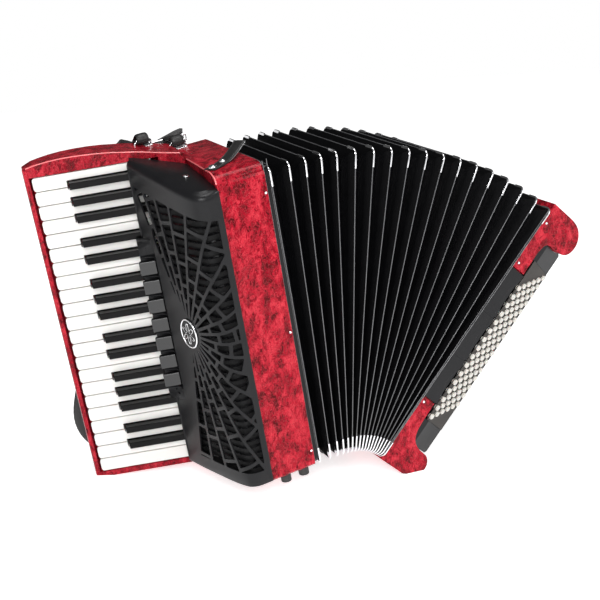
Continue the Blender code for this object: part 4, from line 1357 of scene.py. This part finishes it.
def bellows_strap():
    """Leather strap with chrome snap and edging that buttons the closed bellows."""
    x, y, z = STUD
    z += 1.5
    route = [(x - 7, y - 4, z), (x + 14, y + 9, z), (x + 32, y + 21, z + 4), (x + 54, y + 36, z + 13)]
    _, path = strap("strap_bellows", route, (0, 0, 1), (17.0, 2.2), 40, "bellows_strap", TREBLE, "bellows_strap",
                    ("bellows_strap",))
    seams("bellows", route, (0, 0, 1), 6.4, 1.05, "bellows_strap", TREBLE, 40, 4.0, 2.6)
    line = []
    for i, point in enumerate(path[16:40]):
        along = (path[min(i + 17, len(path) - 1)] - path[i + 15]).normalized()
        line.append(point + along.cross(UP).normalized() * 8.7)
    swept("edging_bellows_strap", line, round_section(0.55, 6), UP, CHROME, "bellows_strap", TREBLE)
    for number, (place, radius) in enumerate(((3, 5.0), (15, 4.0)), 1):
        head = [(0, 3.2), (radius * 0.5, 3.0), (radius * 0.85, 2.2), (radius, 1.1), (radius, 0.0), (0, 0.0)]
        add(f"snap_bellows_strap_{number}", finish_mesh(turned(head, 28), "snap", 50), CHROME, "bellows_strap",
            place_z(path[place] + Vector((0, 0, 1.0)), (0, 0, 1), TREBLE))


def bass_strap():
    """Hand strap with its end plates and their screws."""
    high, low, y = 352.0, 58.0, 122.0
    face = BOARD_OUTER + 0.3 + 1.95
    middle = (high + low) / 2
    route = [(face, y, high), (face + 4, y, high - 22), (face + 24, y, high - 75), (face + 34, y, middle),
             (face + 24, y, low + 75), (face + 4, y, low + 22), (face, y, low)]
    strap("strap_bass", route, (1, 0, 0), (62.0, 3.5), 64, "bass", BASS, "bass_strap", ("bass_strap",))
    seams("bass", route, (1, 0, 0), 27.0, 1.5, "bass", BASS, 64)
    for number, q in enumerate((high - 5, low + 5), 1):
        bm = block((face + 1.2, y - 33, q - 8), (face + 3.2, y + 33, q + 8))
        made = add(f"plate_bass_strap_{number}", finish_mesh(bm, "plate"), CHROME, "bass", BASS)
        round_edges(made, 0.9, 3)
        for side in (-26, 26):
            dome_screw(f"screw_bass_strap_{number}_{'front' if side < 0 else 'back'}", (face + 3.2, y + side, q),
                       (1, 0, 0), BASS, "bass", 2.2)


# ---------------------------------------------------------------- view

FLOOR_LEVEL = -0.0006
MIDDLE = (0.0, 0.0, 0.22)
# Name, place, target, size and power of each light
LIGHTS = (("key_light", (-1.3, -2.5, 1.7), MIDDLE, (1.4, 1.0), 58.0),
          ("fill_light", (1.5, -2.2, 1.5), MIDDLE, (1.2, 1.2), 20.0),
          ("top_light", (0.0, -0.4, 3.2), (0.0, 0.0, 0.0), (1.3, 1.3), 42.0))
CAMERA_LENS, CAMERA_SENSOR, CAMERA_NEAR = 78.35, 36.0, 0.05
CAMERA_PLACE = (-525.9, -1387.1, 823.6)


def light(name, place, target, size, power, colour=(1.0, 1.0, 1.0)):
    """A soft rectangular studio light."""
    lamp = bpy.data.lights.new(name, "AREA")
    lamp.shape = "RECTANGLE"
    lamp.size, lamp.size_y = size
    lamp.energy = power
    lamp.color = colour
    made = linked(name, lamp)
    made.location = place
    made.rotation_euler = (Vector(target) - Vector(place)).to_track_quat("-Z", "Y").to_euler()


def floor_material():
    """Plain pale floor."""
    nodes = Nodes("pale_floor")
    nodes.colour(nodes.noise(3.0, 2.0), ((0.3, (0.93, 0.93, 0.93)), (0.7, (0.95, 0.95, 0.95))))
    nodes.set(Roughness=0.9, Emission_Color=(1.0, 1.0, 1.0, 1.0), Emission_Strength=0.70)
    return nodes.material


def surround(tree):
    """Soft surroundings: bright in front and below, dimmer behind, so that glossy tops keep their colour."""
    backdrop = tree.nodes["Background"]
    backdrop.inputs["Color"].default_value = (1.0, 1.0, 1.0, 1.0)
    split = tree.nodes.new("ShaderNodeSeparateXYZ")
    tree.links.new(tree.nodes.new("ShaderNodeTexCoord").outputs["Generated"], split.inputs[0])
    depth = tree.nodes.new("ShaderNodeMapRange")
    for name, value in (("From Min", -0.7), ("From Max", 0.4), ("To Min", 0.50), ("To Max", 0.08)):
        depth.inputs[name].default_value = value
    tree.links.new(split.outputs["Y"], depth.inputs["Value"])
    below = tree.nodes.new("ShaderNodeMapRange")
    for name, value in (("From Min", 0.0), ("From Max", 0.04), ("To Min", 1.0), ("To Max", 0.0)):
        below.inputs[name].default_value = value
    tree.links.new(split.outputs["Z"], below.inputs["Value"])
    brighter = tree.nodes.new("ShaderNodeMath")
    brighter.operation = "MAXIMUM"
    tree.links.new(depth.outputs["Result"], brighter.inputs[0])
    tree.links.new(below.outputs["Result"], brighter.inputs[1])
    tree.links.new(brighter.outputs[0], backdrop.inputs["Strength"])


def studio():
    """Floor, world, lights and the camera at the photograph's angle."""
    bm = bmesh.new()
    bmesh.ops.create_grid(bm, x_segments=4, y_segments=4, size=3.2)
    mesh = bpy.data.meshes.new("floor")
    bm.to_mesh(mesh)
    bm.free()
    mesh.materials.append(floor_material())
    ground = linked("floor", mesh)
    ground.location.z = FLOOR_LEVEL
    world = bpy.data.worlds.new("studio")
    world.use_nodes = True
    surround(world.node_tree)
    bpy.context.scene.world = world
    for settings in LIGHTS:
        light(*settings)
    camera = bpy.data.cameras.new("photo_camera")
    camera.sensor_width = CAMERA_SENSOR
    camera.lens = CAMERA_LENS
    camera.clip_start = CAMERA_NEAR
    made = linked("photo_camera", camera)
    right = Vector((0.87834, -0.45138, -0.15738))
    down = Vector((-0.29916, -0.26226, -0.91746))
    forward = Vector((0.37285, 0.85292, -0.36539))
    turn = Matrix((right, -down, -forward)).transposed().to_4x4()
    turn.translation = Vector(CAMERA_PLACE) * MM
    made.matrix_world = TREBLE @ turn
    bpy.context.scene.camera = made
    bpy.context.scene.view_settings.view_transform = "Standard"


treble_end()
keys()
grille_cover()
bellows_pleats()
bellows_edges()
bass_end()
shoulder_straps()
strap_stub("left", -21.0, 178.0, 426.0, (-22.0, 204.0, 423.0))
strap_stub("right", 21.0, 168.0, TREBLE_HEIGHT, (20.0, 195.0, 424.0))
strap_foot("left", (-40.0, 206.0, 20.0), (46.0, -12.0, -2.0))
strap_foot("right", (28.0, 188.0, 26.0), (-2.0, -12.0, -16.0))
bellows_strap()
bass_strap()
studio()

bpy.context.view_layer.update()
